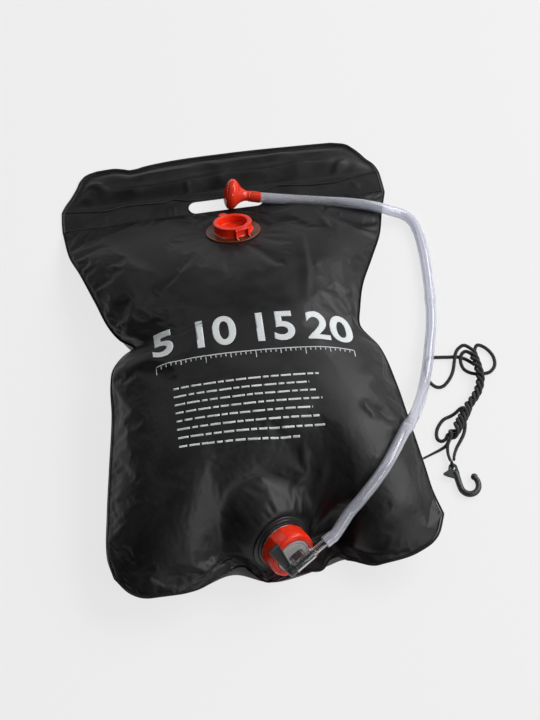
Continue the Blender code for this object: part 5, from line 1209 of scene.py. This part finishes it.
# outlet, a spud welded in the film, a washer, a gasket and a twelve-sided nut
def makeSpud(s):
    line, neck, step, collar, flange = (s[k] for k in ("line", "neck", "step", "collar", "flange"))
    crest, height, pitch = s["threadCrest"], collarTop + 0.0012, s["threadPitch"]
    outline = [(s["bore"], spudBase), (flange, spudBase), (flange, flangeTop - line), (flange - line, flangeTop),
               (step + line * 2, flangeTop), (step, flangeTop + line), (step, stepTop - line), (step - line, stepTop),
               (step - line * 3, stepTop), (step - line * 4, stepTop - line * 0.8),
               (step - line * 5, stepTop - line * 0.8), (step - line * 6, stepTop), (collar + line, stepTop),
               (collar, stepTop + line * 0.7), (collar, collarTop - line * 0.7), (collar - line, collarTop),
               (neck, collarTop)]
    while height + pitch < neckTop:
        outline += [(neck, height), (neck + crest, height + pitch * 0.35), (neck + crest, height + pitch * 0.55),
                    (neck, height + pitch * 0.9)]
        height += pitch
    return turned("outletSpud", [*outline, (neck, neckTop), (s["bore"], neckTop)], blackMoulding, 128, 40.0)


def makeNut(n):
    flats, half, chamfer, back, lip, bore, r = (
        n[k] for k in ("flats", "halfFlats", "chamfer", "height", "lip", "bore", "lipRadius"))
    corner, back, over, line = half / math.cos(math.pi / flats), -back, 0.004, 0.00035
    rings = [(half - chamfer, back), (corner, back + chamfer), (corner, -chamfer), (half - chamfer, 0.0)]
    points = [(x, y, height) for radius, height in rings for x, y in arc(radius, flats / 2, 1 / flats, range(flats))]
    faces = [[j * flats + k, j * flats + (k + 1) % flats, (j + 1) * flats + (k + 1) % flats, (j + 1) * flats + k]
             for j in range(3) for k in range(flats)]
    faces += [list(range(flats)), [3 * flats + k for k in range(flats)]]
    piece = softened(newPiece("outletNut", points, faces, None, 20), 0.00045, 3, 18)
    low, inner, outer = -n["rounding"], half - 0.0030, corner + 0.0002
    shaping = [(0.0, back - over), (outer, back - over)]
    shaping += [(inner + (outer - inner) * x, low - low * y) for x, y in arc(1.0, 20, 0.0, range(11))]
    combine(piece, turned("shaping", [*shaping, (0.0, 0.0)], None, 128), "INTERSECT")
    cuts = {
        "cavity": [(0.0, back - over), (bore + 0.0008, back - over), (bore + 0.0008, back), (bore, back + 0.0008),
                   (bore, -lip), (0.0, -lip)],
        "hole": [(0.0, -lip - over), (r, -lip - over), (r, -0.0006), (r + 0.0006, 0.0), (r + 0.0006, over), (0.0, over)],
        "line": [(r + 0.0030, over), (r + 0.0030, 0.0), (r + 0.0033, -line), (r + 0.0037, -line), (r + 0.0040, 0.0),
                 (r + 0.0040, over)],
    }
    for name, profile in cuts.items():
        combine(piece, turned(name, profile, None, 128))
    return finished(piece, 32, redVinyl)


def makeRing(name, inside, outside, low, high, edge, material, steps):
    return turned(name, rounded([(inside, low), (outside, low), (outside, high), (inside, high)], edge), material, steps)


settle(placed(makeSpud(spud), outletPlace), "root", "black_moulding", "outlet_spud")
outletWasher = makeRing("outletWasher", spud["neck"] + gap * 2.2, spud["washerRadius"], washerBack, washerTop, 0.0003,
                        paleWasher, 128)
settle(placed(outletWasher, outletPlace), "root", "pale_washer", "outlet_washer")
nutGasket = makeRing("nutGasket", spud["bore"], disc["flange"], gasketBack, discBack - gap, 0.0004, rubberSeal, 96)
settle(placed(nutGasket, outletPlace), "root", "rubber_seal", "nut_gasket")
settle(placed(makeNut(nut), outletPlace), "outlet_nut", "red_vinyl", "outlet_nut")

# tap, a clear body with an oval stem, a barrel, a spout and a barb, and a black plug with its lever
tap = {
    "barrelRadius": 0.0060, "barrelBore": 0.0048, "barrelBack": 0.0080, "barrelFront": 0.0200, "stemHalfLength": 0.0080,
    "stemHalfWidth": 0.0034, "stemShift": 0.0030, "portHalfLength": 0.0050, "portHalfWidth": 0.0018,
    "spoutRadius": 0.0042, "spoutBore": 0.0026, "spoutLength": 0.0140, "barbLength": 0.0116, "barbRoot": 0.0038,
    "barbCrest": 0.0044, "barbs": 3, "clearance": 0.0004, "plugBore": 0.0015,
    "plugPortHalfLength": 0.0034, "plugPortHalfWidth": 0.0014,
    "noseRadius": 0.0023, "tangHalfWidth": 0.0026, "tangLength": 0.0042, "ringTube": 0.00055, "ringShares": (0.16, 0.86),
    "ringRoom": 0.0004, "hubRadius": 0.0058, "hubLength": 0.0088, "leverLength": 0.0365, "leverEnd": 0.0070,
    "leverRoot": 0.0038, "leverThickness": 0.0046, "leverTip": 0.0036, "leverLean": 20.0, "recess": 0.0015,
    "border": 0.0016, "edge": 0.0007,
}
alongX = Matrix(((0, 0, 1, 0), (1, 0, 0, 0), (0, 1, 0, 0), (0, 0, 0, 1)))
tapLine = barrelPlace @ alongX
tapSeat = tap["barrelFront"] - 2 * (tap["barrelRadius"] - tap["spoutRadius"])
spoutEnd = tap["barrelFront"] + tap["spoutLength"]
barbTip = spoutEnd + tap["barbLength"]


def barbed(start, stop, root, crest, count):
    pitch, points = (stop - start) / count, []
    for foot in (start + pitch * k for k in range(count)):
        points += [(root, foot), (root, foot + pitch * 0.22), (crest, foot + pitch * 0.35), (crest, foot + pitch * 0.42)]
    return points + [(root, stop - 0.0003), (root - 0.0003, stop)]


def makeTapBody(t):
    top, lipIn, lipTop, step = disc["proud"], nut["lipRadius"] - gap, -nut["lip"] - gap, 0.00035
    r, spout, shift = t["barrelRadius"], t["spoutRadius"], t["stemShift"]
    back, front = -t["barrelBack"], t["barrelFront"]
    outline = [(0.0, discBack), (disc["flange"], discBack), (disc["flange"], lipTop), (lipIn, lipTop), (lipIn, top),
               (lipIn - 0.0022, top), (lipIn - 0.0026, top - step), (lipIn - 0.0038, top - step), (lipIn - 0.0042, top),
               (0.0, top)]
    body = turned("tapBody", rounded(outline, 0.0003), None, 128)
    foot = stadium(t["stemHalfLength"] + 0.0012, t["stemHalfWidth"] + 0.0012, 16, shift)
    combine(body, slab("foot", foot, top / 2, top + 0.0010, 0.0005), "UNION")
    stem = stadium(t["stemHalfLength"], t["stemHalfWidth"], 20, shift)
    combine(body, slab("stem", stem, top / 2, outlet["barrelStandOff"]), "UNION")
    placed(body, outletPlace)
    outside = [(0.0, back), (r, back), (r + 0.0004, back + 0.0003), (r + 0.0004, back + 0.0013), (r, back + 0.0016),
               (r, front - r + spout), (spout + 0.0002, front), (spout, front + 0.0006), (spout, spoutEnd - 0.0012),
               (spout + 0.0003, spoutEnd - 0.0009), (spout + 0.0003, spoutEnd - 0.0002)]
    outside += [*barbed(spoutEnd, barbTip, t["barbRoot"], t["barbCrest"], t["barbs"]), (0.0, barbTip)]
    combine(body, placed(turned("barrel", outside, None, 64), tapLine), "UNION")
    bore = [(0.0, back - 0.004), (t["barrelBore"], back - 0.004), (t["barrelBore"], tapSeat), (t["spoutBore"], tapSeat),
            (t["spoutBore"], barbTip + 0.004), (0.0, barbTip + 0.004)]
    combine(body, placed(turned("bore", bore, None, 64), tapLine))
    port = stadium(t["portHalfLength"], t["portHalfWidth"], 16, shift)
    combine(body, placed(slab("port", port, discBack - 0.004, outlet["barrelStandOff"]), outletPlace))
    finished(body, 35, clearPlastic, portPaintedShade, frostedPlastic)
    # faces on the port's walls take the painted shade, faces of the flat disc the frosted finish
    x, y, z = centresIn(outletPlace, body).T
    x = np.abs(x - shift) - (t["portHalfLength"] - t["portHalfWidth"])
    inPort = (np.hypot(np.maximum(x, 0), y) < t["portHalfWidth"] + 0.0001) & (
        z < outlet["barrelStandOff"] - t["barrelBore"] + 0.0003)
    index = np.where(inPort, 1, np.where(z < top + 0.0008, 2, 0))
    body.data.polygons.foreach_set("material_index", index.astype(np.int32))
    return body


def makePlug(t):
    radius, nose, tube = t["barrelBore"] - t["clearance"], t["noseRadius"], t["ringTube"]
    back, front, tip = -t["barrelBack"] - gap, tapSeat - gap, barbTip - 0.0003
    groove, half, side = radius - tube * 2 - gap, tube + t["ringRoom"], t["tangHalfWidth"]
    spots = [back + (front - back) * share for share in t["ringShares"]]
    outline = [(0.0, back), (radius, back)]
    for spot in spots:
        outline += [(radius, spot - half), (groove, spot - half), (groove, spot + half), (radius, spot + half)]
    outline += [(radius, front), (nose, front), (nose, tip - 0.0003), (nose - 0.0003, tip), (0.0, tip)]
    plug = turned("tapPlug", outline, None, 64)
    tang = slab("tang", box(-side, side, -side, side), back - t["tangLength"], back + 0.0005, 0.0003, 2)
    combine(plug, tang, "UNION")
    combine(plug, drum("waterway", t["plugBore"], t["stemShift"] - t["plugPortHalfLength"], barbTip + 0.003, 40))
    placed(plug, tapLine)
    port = stadium(t["plugPortHalfLength"], t["plugPortHalfWidth"], 12, t["stemShift"])
    port = placed(slab("plugPort", port, -radius - 0.003, radius + 0.003),
                  barrelPlace @ Matrix.Rotation(-math.pi / 2, 4, "X"))
    finished(combine(plug, port), 35, blackMoulding)
    rings = [turned(name, [(groove + gap + tube + x, spot + y) for x, y in circle(tube, 20)], rubberSeal, 64)
             for name, spot in zip(("plugRingHub", "plugRingSpout"), spots)]
    return plug, *[placed(ring, tapLine) for ring in rings]


def makeLever(t):
    place = barrelPlace @ Matrix.Rotation(-math.radians(t["leverLean"]), 4, "X")
    start, r, root, long = -t["barrelBack"] - 2 * gap, t["hubRadius"], t["leverRoot"], t["leverLength"]
    stop, edge = start - t["hubLength"], t["hubRadius"] / 4
    hub = [(0.0, stop + 0.0003), (0.0016, stop + 0.0003), (0.0019, stop), (r - 2.6 * edge, stop)]
    hub += [(r - inside * edge, stop + above * edge)
            for inside, above in ((1.7, 0.10), (0.9, 0.45), (0.35, 1.1), (0.08, 1.9), (0.0, 2.8))]
    hub += [(r, start - 0.0012), (r - 0.0003, start - 0.0009), (r - 0.0003, start - 0.0005), (r, start - 0.0003),
            (r, start), (0.0, start)]
    lever = placed(turned("tapLever", hub, None, 72, 40), alongX)
    middle = (start + stop) / 2 - t["edge"]
    halfRoot, halfTip, growth = t["leverThickness"] / 2, t["leverTip"] / 2, (t["leverEnd"] - root) / long
    rows, points = 9, []
    for share in (k / (rows - 1) for k in range(rows)):
        halfX = root * 0.9 + (t["leverEnd"] - root * 0.9) * share
        halfZ = halfRoot + (halfTip - halfRoot) * share
        points += [(x, long * share, z) for x, z in box(middle - halfX, middle + halfX, -halfZ, halfZ)]
    faces = [[0, 1, 2, 3], [4 * rows - k for k in (4, 3, 2, 1)]] + gridFaces(rows, 4, wrap=True)
    combine(lever, softened(newPiece("arm", points, faces, None), t["edge"] * 1.3, 4), "UNION")
    near, far = r + t["border"], long - t["border"] * 1.6
    for side in (1, -1):
        panel = []
        for low in (True, False):
            for y, way in ((near, -1), (near, 1), (far, 1), (far, -1)):
                top = halfRoot + (halfTip - halfRoot) * y / long
                panel.append((middle + way * (root + growth * y - t["border"]), y,
                              side * (top - t["recess"] if low else top + 0.003)))
        sides = [[k, (k + 1) % 4, (k + 1) % 4 + 4, k + 4] for k in range(4)]
        tool = newPiece("panel", panel, [[0, 1, 2, 3], [4, 5, 6, 7], *sides], None)
        combine(lever, softened(tool, 0.0005, 3))
    placed(lever, place)
    room = t["tangHalfWidth"] + gap
    socket = slab("socket", box(-room, room, -room, room), start - t["tangLength"], start + 0.003)
    finished(combine(lever, placed(socket, tapLine)), 35, leverMoulding, leverPanelPaintedShade)
    # the sunk panel's faces take the painted shade
    x, y, z = centresIn(place, lever).T
    sunk = np.abs(z) < halfRoot + (halfTip - halfRoot) * y / long - t["recess"] * 0.8
    inside = (np.abs(x - middle) < root + growth * y - t["border"]) & (y > near) & (y < far)
    lever.data.polygons.foreach_set("material_index", (sunk & inside).astype(np.int32))
    return lever


settle(makeTapBody(tap), "root", "clear_plastic", "tap_body")
tapPlug, plugRingHub, plugRingSpout = makePlug(tap)
settle(tapPlug, "tap_lever", "black_moulding", "tap_plug")
settle(plugRingHub, "tap_lever", "rubber_seal", "plug_ring_hub")
settle(plugRingSpout, "tap_lever", "rubber_seal", "plug_ring_spout")
settle(makeLever(tap), "tap_lever", "black_moulding", "tap_lever")
print("outlet and tap done")

# shower head, a bell on the hose's end with a domed rose; outlines are shares of the length and the radius
head = {
    "spigot": 0.0150, "bore": 0.0024, "length": 0.0320, "radius": 0.0190, "wall": 0.0016, "roseWall": 0.0014,
    "bell": ((0.00, 0.330), (0.10, 0.330), (0.20, 0.360), (0.33, 0.47), (0.44, 0.64), (0.53, 0.83), (0.60, 0.935),
             (0.66, 0.985), (0.715, 1.0), (0.77, 0.990), (0.835, 0.955)),
    "dome": ((0.835, 0.932), (0.900, 0.830), (0.960, 0.650), (1.005, 0.430), (1.033, 0.20), (1.04, 0.0)),
    "barbRoot": 0.0043, "barbCrest": 0.0047, "rings": ((1, 0.0), (6, 0.30), (12, 0.56), (15, 0.80)), "hole": 0.0009,
}
headSide = Vector((0.0, 0.0, 1.0)).cross(headAlong).normalized()
headPlace = frameOf(headEnd + headAlong * gap, headSide, headAlong.cross(headSide), headAlong)
mouth = head["dome"][0][0] * head["length"]
ledge = mouth - 2 * head["roseWall"]
seatRadius = head["dome"][0][1] * head["radius"] + gap


def smoothOutline(shares, h, count):
    run, _ = smoothRoute([(out * h["radius"], share * h["length"], 0.0) for share, out in shares], 0.0004)
    spots = np.linspace(0, len(run) - 1, count).round().astype(int)
    return [(max(0.0, float(run[i][0])), float(run[i][1])) for i in spots]


def makeBell(h):
    outside, banded = smoothOutline(h["bell"], h, 44), []
    # two fine rings of the moulding's parting line round the widest place, and a collar at the foot
    for radius, height in outside:
        share = height / h["length"]
        banded.append((radius + 0.00026 * math.exp(-((share - 0.660) / 0.010) ** 2)
                       + 0.00022 * math.exp(-((share - 0.730) / 0.010) ** 2)
                       + 0.0007 * math.exp(-((share - 0.030) / 0.030) ** 4), height))
    inside = [(max(h["bore"], radius - h["wall"]), height) for radius, height in outside if height < ledge - 2 * gap]
    barbs = barbed(-gap, -h["spigot"], h["barbRoot"], h["barbCrest"], tap["barbs"])
    profile = [(h["bore"], -h["spigot"]), *reversed(barbs), *banded, (seatRadius, mouth), (seatRadius, ledge - gap),
               (seatRadius - h["wall"], ledge - gap), *reversed(inside)]
    return placed(turned("headBell", profile, headVinyl, 112, 42.0), headPlace)


def makeHoleTree():
    # spray holes on a ring about Z: one thin drill put at each of its places
    tree, given, out = newGroup("sprayHoles", "GeometryNodeTree", [
        ("Geometry", "Geometry", None), ("Count", "Int", 6), ("Ring Radius", "Float", 0.005),
        ("Hole Radius", "Float", 0.0009), ("Depth", "Float", 0.010), ("Height", "Float", 0.03)],
        [("Geometry", "Geometry")])
    ring = addNode(tree, "GeometryNodeMeshCircle", {"Vertices": given["Count"], "Radius": given["Ring Radius"]})
    drill = addNode(tree, "GeometryNodeMeshCylinder", {
        "Vertices": 16, "Radius": given["Hole Radius"], "Depth": given["Depth"]})
    spots = addNode(tree, "GeometryNodeInstanceOnPoints", {
        "Points": ring.outputs["Mesh"], "Instance": drill.outputs["Mesh"]})
    real = addNode(tree, "GeometryNodeRealizeInstances", {"Geometry": spots.outputs["Instances"]})
    up = addNode(tree, "ShaderNodeCombineXYZ", {"Z": given["Height"]})
    lifted = addNode(tree, "GeometryNodeTransform", {
        "Geometry": real.outputs["Geometry"], "Translation": up.outputs[0]})
    tree.links.new(lifted.outputs["Geometry"], out.inputs["Geometry"])
    return tree


holeTree = makeHoleTree()


def makeRose(h):
    dome = smoothOutline(h["dome"], h, 28)
    under = [(max(0.0, radius - h["roseWall"] * 0.4), height - h["roseWall"]) for radius, height in dome]
    profile = [(dome[0][0] - h["roseWall"], ledge), (dome[0][0], ledge), *dome, *reversed(under[1:])]
    rose = turned("headRose", profile, None, 112, 42.0)
    for count, share in h["rings"]:
        if count == 1:
            drills = drum("drill", h["hole"], h["length"] - 0.012, h["length"] + 0.004, 16)
        else:
            drills = runTree(pathPiece("drills", [(0, 0, 0), (0, 0, 0.001)]), holeTree, {
                "Count": count, "Ring Radius": share * seatRadius, "Hole Radius": h["hole"], "Depth": 0.016,
                "Height": h["length"] - 0.004})
        combine(rose, drills)
    return placed(finished(rose, 42, headVinyl), headPlace)


headBell = settle(makeBell(head), "root", "red_vinyl", "head_bell")
headRose = settle(makeRose(head), "root", "red_vinyl", "head_rose")
print("shower head done")

# hanging hook and the lashing on its eye; the hook's line and barb are shares of its length, from the eye
hook = {
    "eye": (0.1990, -0.1815, 0.0054), "length": 0.036, "radius": 0.0036, "tip": 0.0040, "eyeHalfWidth": 0.0052,
    "thickness": 0.0032, "hole": 0.0026, "wall": 0.0030, "knotRadius": 0.0039, "knotTube": 0.0014, "edge": 0.0006,
    "route": ((0.03, -0.16, -0.02), (0.07, -0.36, -0.045), (0.085, -0.60, -0.045), (0.125, -0.80, -0.045),
              (0.24, -0.93, -0.045), (0.40, -0.965, -0.045), (0.56, -0.90, -0.045), (0.66, -0.74, -0.04),
              (0.665, -0.55, -0.035), (0.60, -0.40, -0.03)),
    "barb": ((-0.144, -0.02), (-0.20, -0.08), (-0.345, -0.14), (-0.345, -0.185), (-0.22, -0.27), (-0.04, -0.36),
             (0.09, -0.42), (0.17, -0.28), (0.146, -0.05)),
}


def cutCorners(outline, times):
    # each corner of an open line becomes two, its ends stay
    for _ in range(times):
        inner = [tuple(share * p + (1 - share) * q for p, q in zip(a, b))
                 for a, b in zip(outline[:-1], outline[1:]) for share in (0.8, 0.2)]
        outline = [outline[0], *inner[1:-1], outline[-1]]
    return outline


def makeRod(h, run, sides=40):
    at = np.linspace(0, 1, len(run))
    radii = h["radius"] * (1.0 + 0.10 * np.exp(-(at / 0.12) ** 2) - 0.10 * np.clip((at - 0.55) / 0.45, 0, 1))
    last = len(run) * sides
    faces = gridFaces(len(run), sides, wrap=True) + [list(range(sides)), list(range(last - sides, last))]
    return newPiece("hookRod", ringPoints(run, radii, radii, sides).reshape(-1, 3), faces, None)


def makeHook(h):
    eye, reach, edge = Vector(h["eye"]), h["hole"] + h["wall"], h["edge"]
    outline = [(h["eyeHalfWidth"] * x, reach * y) for x, y in arc(1.0, 24, 0.0, range(25))]
    outline += cutCorners([(x * h["length"], y * h["length"]) for x, y in h["barb"]], 2)
    flat = bpy.data.curves.new("hook", "CURVE")
    flat.dimensions, flat.fill_mode, flat.extrude, flat.bevel_depth = "2D", "BOTH", h["thickness"] / 2 - edge, edge
    flat.bevel_resolution, flat.offset = 3, -edge
    for ring in (outline, circle(h["hole"], 32)):
        spline = flat.splines.new("POLY")
        spline.points.add(len(ring) - 1)
        spline.use_cyclic_u = True
        for point, (x, y) in zip(spline.points, ring):
            point.co = (x, y, 0.0, 1.0)
    holder = linked("hook", flat)
    plate = evaluated(holder)
    bpy.data.objects.remove(holder)
    shape = bmesh.new()
    shape.from_mesh(plate)
    bmesh.ops.remove_doubles(shape, verts=shape.verts, dist=0.00001)
    bmesh.ops.recalc_face_normals(shape, faces=shape.faces)
    shape.to_mesh(plate)
    shape.clear()
    plate.transform(Matrix.Translation(eye))
    piece = linked("hook", plate)
    run, _ = smoothRoute([eye + Vector(s) * h["length"] for s in h["route"]], 0.0009)
    combine(piece, makeRod(h, run), "UNION")
    bmesh.ops.create_uvsphere(shape, u_segments=40, v_segments=24, radius=h["tip"])
    data = bpy.data.meshes.new("hookBall")
    shape.to_mesh(data)
    shape.free()
    data.transform(Matrix.Translation(Vector(run[-1])))
    return finished(combine(piece, linked("hookBall", data), "UNION"), 35, greyMoulding)


def makeKnot(h):
    # the lashing: a turn of the cord through the eye and round its wall
    wall = Vector(h["eye"]) + Vector((0.0, h["hole"] + h["wall"] / 2, 0.0))
    run = [wall + Vector((0.0, y, z)) for y, z in circle(h["knotRadius"], 72)]
    knot = runTree(pathPiece("hookKnot", run, True), twistTree, {
        "Radius": h["knotTube"], "Lay": 2 * math.pi * h["knotRadius"] / 3, "Groove": 0.22, "Sides": 24,
        "Material": blackCord})
    spots = coordinates(knot) - np.array(wall)
    turns = np.arctan2(spots[:, 2], spots[:, 1])
    layCord(knot, turns * 0.004, turns * 0.001)
    return knot


hookPiece = settle(makeHook(hook), "root", "black_moulding", "hook")
knotPiece = settle(makeKnot(hook), "root", "black_cord", "hook_knot")
print("hook done,", len(hookPiece.data.polygons), "faces")

# welds, beads pressed along every edge and seam: width, height, how full between the beads, and sides
weld = {
    "edge": (0.0040, 0.0016, 0.30, 18), "seam": (0.0034, 0.0009, 0.2, 16), "slot": (0.0016, 0.0010, 0.8, 14),
    "step": 0.0022, "straight": ((-0.3, 0.0), (0.3, 0.0)),
    "upperWander": (
        (-0.2015, 0.0015), (-0.171, -0.0020), (-0.149, -0.0050), (-0.116, -0.0005), (-0.073, -0.0030), (-0.063, 0.0005),
        (-0.044, -0.0040), (0.050, -0.0045), (0.072, 0.0005), (0.108, -0.0040), (0.144, -0.0055), (0.155, -0.0030),
        (0.2015, 0.0030)),
}


def makeWeld(name, kind, path, cyclic=False):
    width, height, waist, sides = weld[kind]
    piece = runTree(pathPiece(name, path, cyclic), weldTree, {
        "Width": width, "Height": height, "Waist": waist, "Sides": sides, "Material": weldFilm})
    return settle(piece, "root", "black_film")


def surfaceAt(tree, x, y):
    hit, normal, _, _ = tree.ray_cast(Vector((x, y, 0.3)), Vector((0, 0, -1)))
    return (hit, normal if normal.z > 0 else -normal) if hit else (None, None)


def makeEdgeWeld():
    around = [*headerGrid[::-1, 0], *frontGrid[1:, 0], *frontGrid[-1, 1:], *frontGrid[-2::-1, -1], *headerGrid[:, -1],
              *headerGrid[-1, -2:0:-1]]
    path, _ = evenly(around, weld["step"], cyclic=True)
    path[:, 2] = np.maximum(path[:, 2], weld["edge"][1] * 0.5)
    return makeWeld("edgeWeld", "edge", path, True)


def makeSeamWeld(name, y, bow, wander):
    tree = BVHTree.FromObject(headerFilm, bpy.context.evaluated_depsgraph_get())
    path = []
    for x in np.linspace(-bag["halfWidth"] + 0.001, bag["halfWidth"] - 0.001, 190):
        at = y + bow * math.sin(x * 30.0) + bow * 0.5 * math.sin(x * 71.0 + 1.0) + float(throughTable(wander, x)[0][0])
        hit, _ = surfaceAt(tree, x, at)
        path.append((x, at, (hit.z if hit else 0.0015) + 0.0002))
    return makeWeld(name, "seam", evenly(path, weld["step"])[0])


makeEdgeWeld()
makeSeamWeld("lowerWeld", bag["topY"] + 0.0022, 0.0004, weld["straight"])
makeSeamWeld("upperWeld", bag["topY"] + header["band"] - 0.0005, 0.0003, weld["upperWander"])
slotWide = weld["slot"][0]
slotPath = [(x, y + bag["topY"] + header["slotAbove"], 2 * bag["film"] + gap + 0.0001) for x, y in stadium(
    (header["slotLength"] + slotWide) / 2, (header["slotWidth"] + slotWide) / 2, 30, header["slotX"])]
makeWeld("slotWeld", "slot", evenly(slotPath, 0.0012, cyclic=True)[0], True)
print("welds done")

# print on the film: plain numbers over a rule of ticks, and broken lines below
ink = {
    "digits": (("5", -0.106), ("10", -0.050), ("15", 0.018), ("20", 0.084)), "digitY": -0.039, "digitSize": 0.055,
    "fatter": 0.0013, "ruleY": -0.052, "ruleLeft": -0.116, "ruleRight": 0.108, "ticks": 41, "lift": 0.00012,
    "cut": 0.0022, "lineTop": -0.088, "lineStep": 0.0103, "lines": 8, "lineLeft": -0.100, "lineRight": 0.062,
    "lineHeight": 0.0023, "turn": -2.8, "reach": (0.135, 0.190),
}


def inkShapes(k):
    # all the flat shapes of the print in one bmesh, in the film's own X and Y
    shape = bmesh.new()
    for word, middle in k["digits"]:
        curve = bpy.data.curves.new("digits", "FONT")
        curve.body, curve.size, curve.align_x, curve.offset = word, k["digitSize"], "CENTER", k["fatter"]
        holder = linked("digits", curve)
        flat = evaluated(holder)
        flat.transform(Matrix.Translation((middle, k["digitY"], 0.0)))
        shape.from_mesh(flat)
        bpy.data.objects.remove(holder)
        bpy.data.meshes.remove(flat)

    def bar(*sides):
        shape.faces.new([shape.verts.new((x, y, 0.0)) for x, y in box(*sides)])

    bar(k["ruleLeft"], k["ruleRight"], k["ruleY"], k["ruleY"] + 0.0011)
    for i in range(k["ticks"]):
        x = k["ruleLeft"] + (k["ruleRight"] - k["ruleLeft"]) * i / (k["ticks"] - 1)
        long = 0.0085 if i % 10 == 0 else 0.0058 if i % 5 == 0 else 0.0036
        bar(x - 0.00045, x + 0.00045, k["ruleY"] - long, k["ruleY"] - 0.0004)
    for i in range(k["lines"]):
        y, x, j = k["lineTop"] - k["lineStep"] * i, k["lineLeft"], 0
        stop = k["lineRight"] - (0.030 if i == k["lines"] - 1 else 0.006 * ((i * 5) % 3))
        while x < stop:
            long = 0.0065 + 0.0075 * ((i * 7 + j * 5) % 4) / 3
            bar(x, min(x + long, stop), y, y + k["lineHeight"])
            x, j = x + long + 0.0022, j + 1
    bmesh.ops.rotate(shape, verts=shape.verts, matrix=Matrix.Rotation(math.radians(k["turn"]), 3, "Z"))
    return shape


def makeInkPiece(k):
    shape = inkShapes(k)
    for axis, reach in zip(np.eye(3), k["reach"]):
        for at in np.arange(-reach, reach, k["cut"]):
            bmesh.ops.bisect_plane(shape, geom=shape.verts[:] + shape.edges[:] + shape.faces[:],
                                   plane_co=axis * at, plane_no=axis)
    tree = BVHTree.FromObject(bagFront, bpy.context.evaluated_depsgraph_get())
    bmesh.ops.recalc_face_normals(shape, faces=shape.faces)
    for face in shape.faces:
        if face.normal.z < 0:
            face.normal_flip()
    for v in shape.verts:
        hit, normal = surfaceAt(tree, v.co.x, v.co.y)
        if hit:
            v.co = hit + normal * k["lift"]
    data = bpy.data.meshes.new("inkPrint")
    shape.to_mesh(data)
    shape.free()
    data.materials.append(whiteInk)
    piece = linked("inkPrint", data)
    step = piece.modifiers.new("layer", "SOLIDIFY")
    step.thickness, step.offset = k["lift"] * 0.8, -1.0
    bake(piece).data.shade_smooth()
    return piece


inkPrint = settle(makeInkPiece(ink), "root", "black_film")
print("print done,", len(inkPrint.data.polygons), "faces")

# studio: a pale sheet on the floor, one large soft box at the back right and weaker ones round about
studio = {
    "floor": 40.0, "floorColour": 0.80, "floorGlow": 0.895, "glowShare": 0.84, "skyLow": 0.42, "skyHigh": 0.09,
    "skyBand": (0.05, 0.40), "skyLeft": 0.40,
    "lamps": (     # place, target, width, height, power
        ((2.1, 0.45, 1.9), (0.1, 0.0, 0.0), 2.4, 1.6, 66.0), ((-1.6, 2.4, 2.4), (0.0, 0.0, 0.0), 1.2, 1.2, 10.0),
        ((1.5, -1.7, 1.9), (0.1, -0.1, 0.0), 1.4, 0.8, 18.0), ((1.8, 1.8, 1.6), (0.1, 0.0, 0.0), 1.4, 1.0, 12.0),
        ((0.3, 1.0, 2.4), (0.0, 0.0, 0.0), 1.4, 1.0, 4.0)),
}


def makeFloor(s):
    # the sheet glows evenly where it is seen, straight or through gloss and glass, and still takes a faint shadow
    made, tree, shader, _ = newMaterial("floorSheet")
    feed(tree, shader, {"Base Color": tone([s["floorColour"]] * 3), "Roughness": 0.9, "Specular IOR Level": 0.1})
    glow = addNode(tree, "ShaderNodeEmission", {"Color": tone([s["floorGlow"]] * 3), "Strength": 1.0})
    ray = addNode(tree, "ShaderNodeLightPath").outputs
    seen = mathOf(tree, "MAXIMUM", ray["Is Camera Ray"], ray["Is Glossy Ray"])
    seen = mathOf(tree, "MAXIMUM", seen, ray["Is Transmission Ray"])
    mixed = addNode(tree, "ShaderNodeMixShader", {
        0: mathOf(tree, "MULTIPLY", seen, s["glowShare"]), 1: shader.outputs["BSDF"], 2: glow.outputs["Emission"]})
    tree.links.new(mixed.outputs["Shader"], tree.nodes["Material Output"].inputs["Surface"])
    half = s["floor"] / 2
    newPiece("floorSheet", [(x, y, 0) for x, y in box(-half, half, -half, half)], [[0, 1, 2, 3]], made, 0)


def makeLamp(name, place, target, wide, tall, power):
    data = bpy.data.lights.new(name, "AREA")
    data.shape, data.size, data.size_y, data.energy = "RECTANGLE", wide, tall, power
    turn = (Vector(place) - Vector(target)).to_track_quat("Z", "Y").to_matrix().to_4x4()
    linked(name, data).matrix_world = Matrix.Translation(place) @ turn


def makeWorld(s):
    # pale along the horizon, dimmer overhead and to the left
    world = bpy.data.worlds.new("studioWorld")
    world.use_nodes = True
    tree = world.node_tree
    tree.nodes.clear()
    way = addNode(tree, "ShaderNodeTexCoord").outputs["Generated"]
    part = addNode(tree, "ShaderNodeSeparateXYZ", {0: way}).outputs
    shade = mathOf(tree, "MULTIPLY", rangeOf(tree, part["Z"], *s["skyBand"], s["skyLow"], s["skyHigh"]),
                   rangeOf(tree, part["X"], -0.7, 0.5, s["skyLeft"], 1.0))
    sky = addNode(tree, "ShaderNodeBackground", {"Color": shade, "Strength": 1.0})
    addNode(tree, "ShaderNodeOutputWorld", {"Surface": sky.outputs["Background"]})
    bpy.context.scene.world = world


makeFloor(studio)
for i, lamp in enumerate(studio["lamps"]):
    makeLamp(f"softBox{i + 1}", *lamp)
makeWorld(studio)
bpy.context.scene.view_settings.view_transform = "Standard"
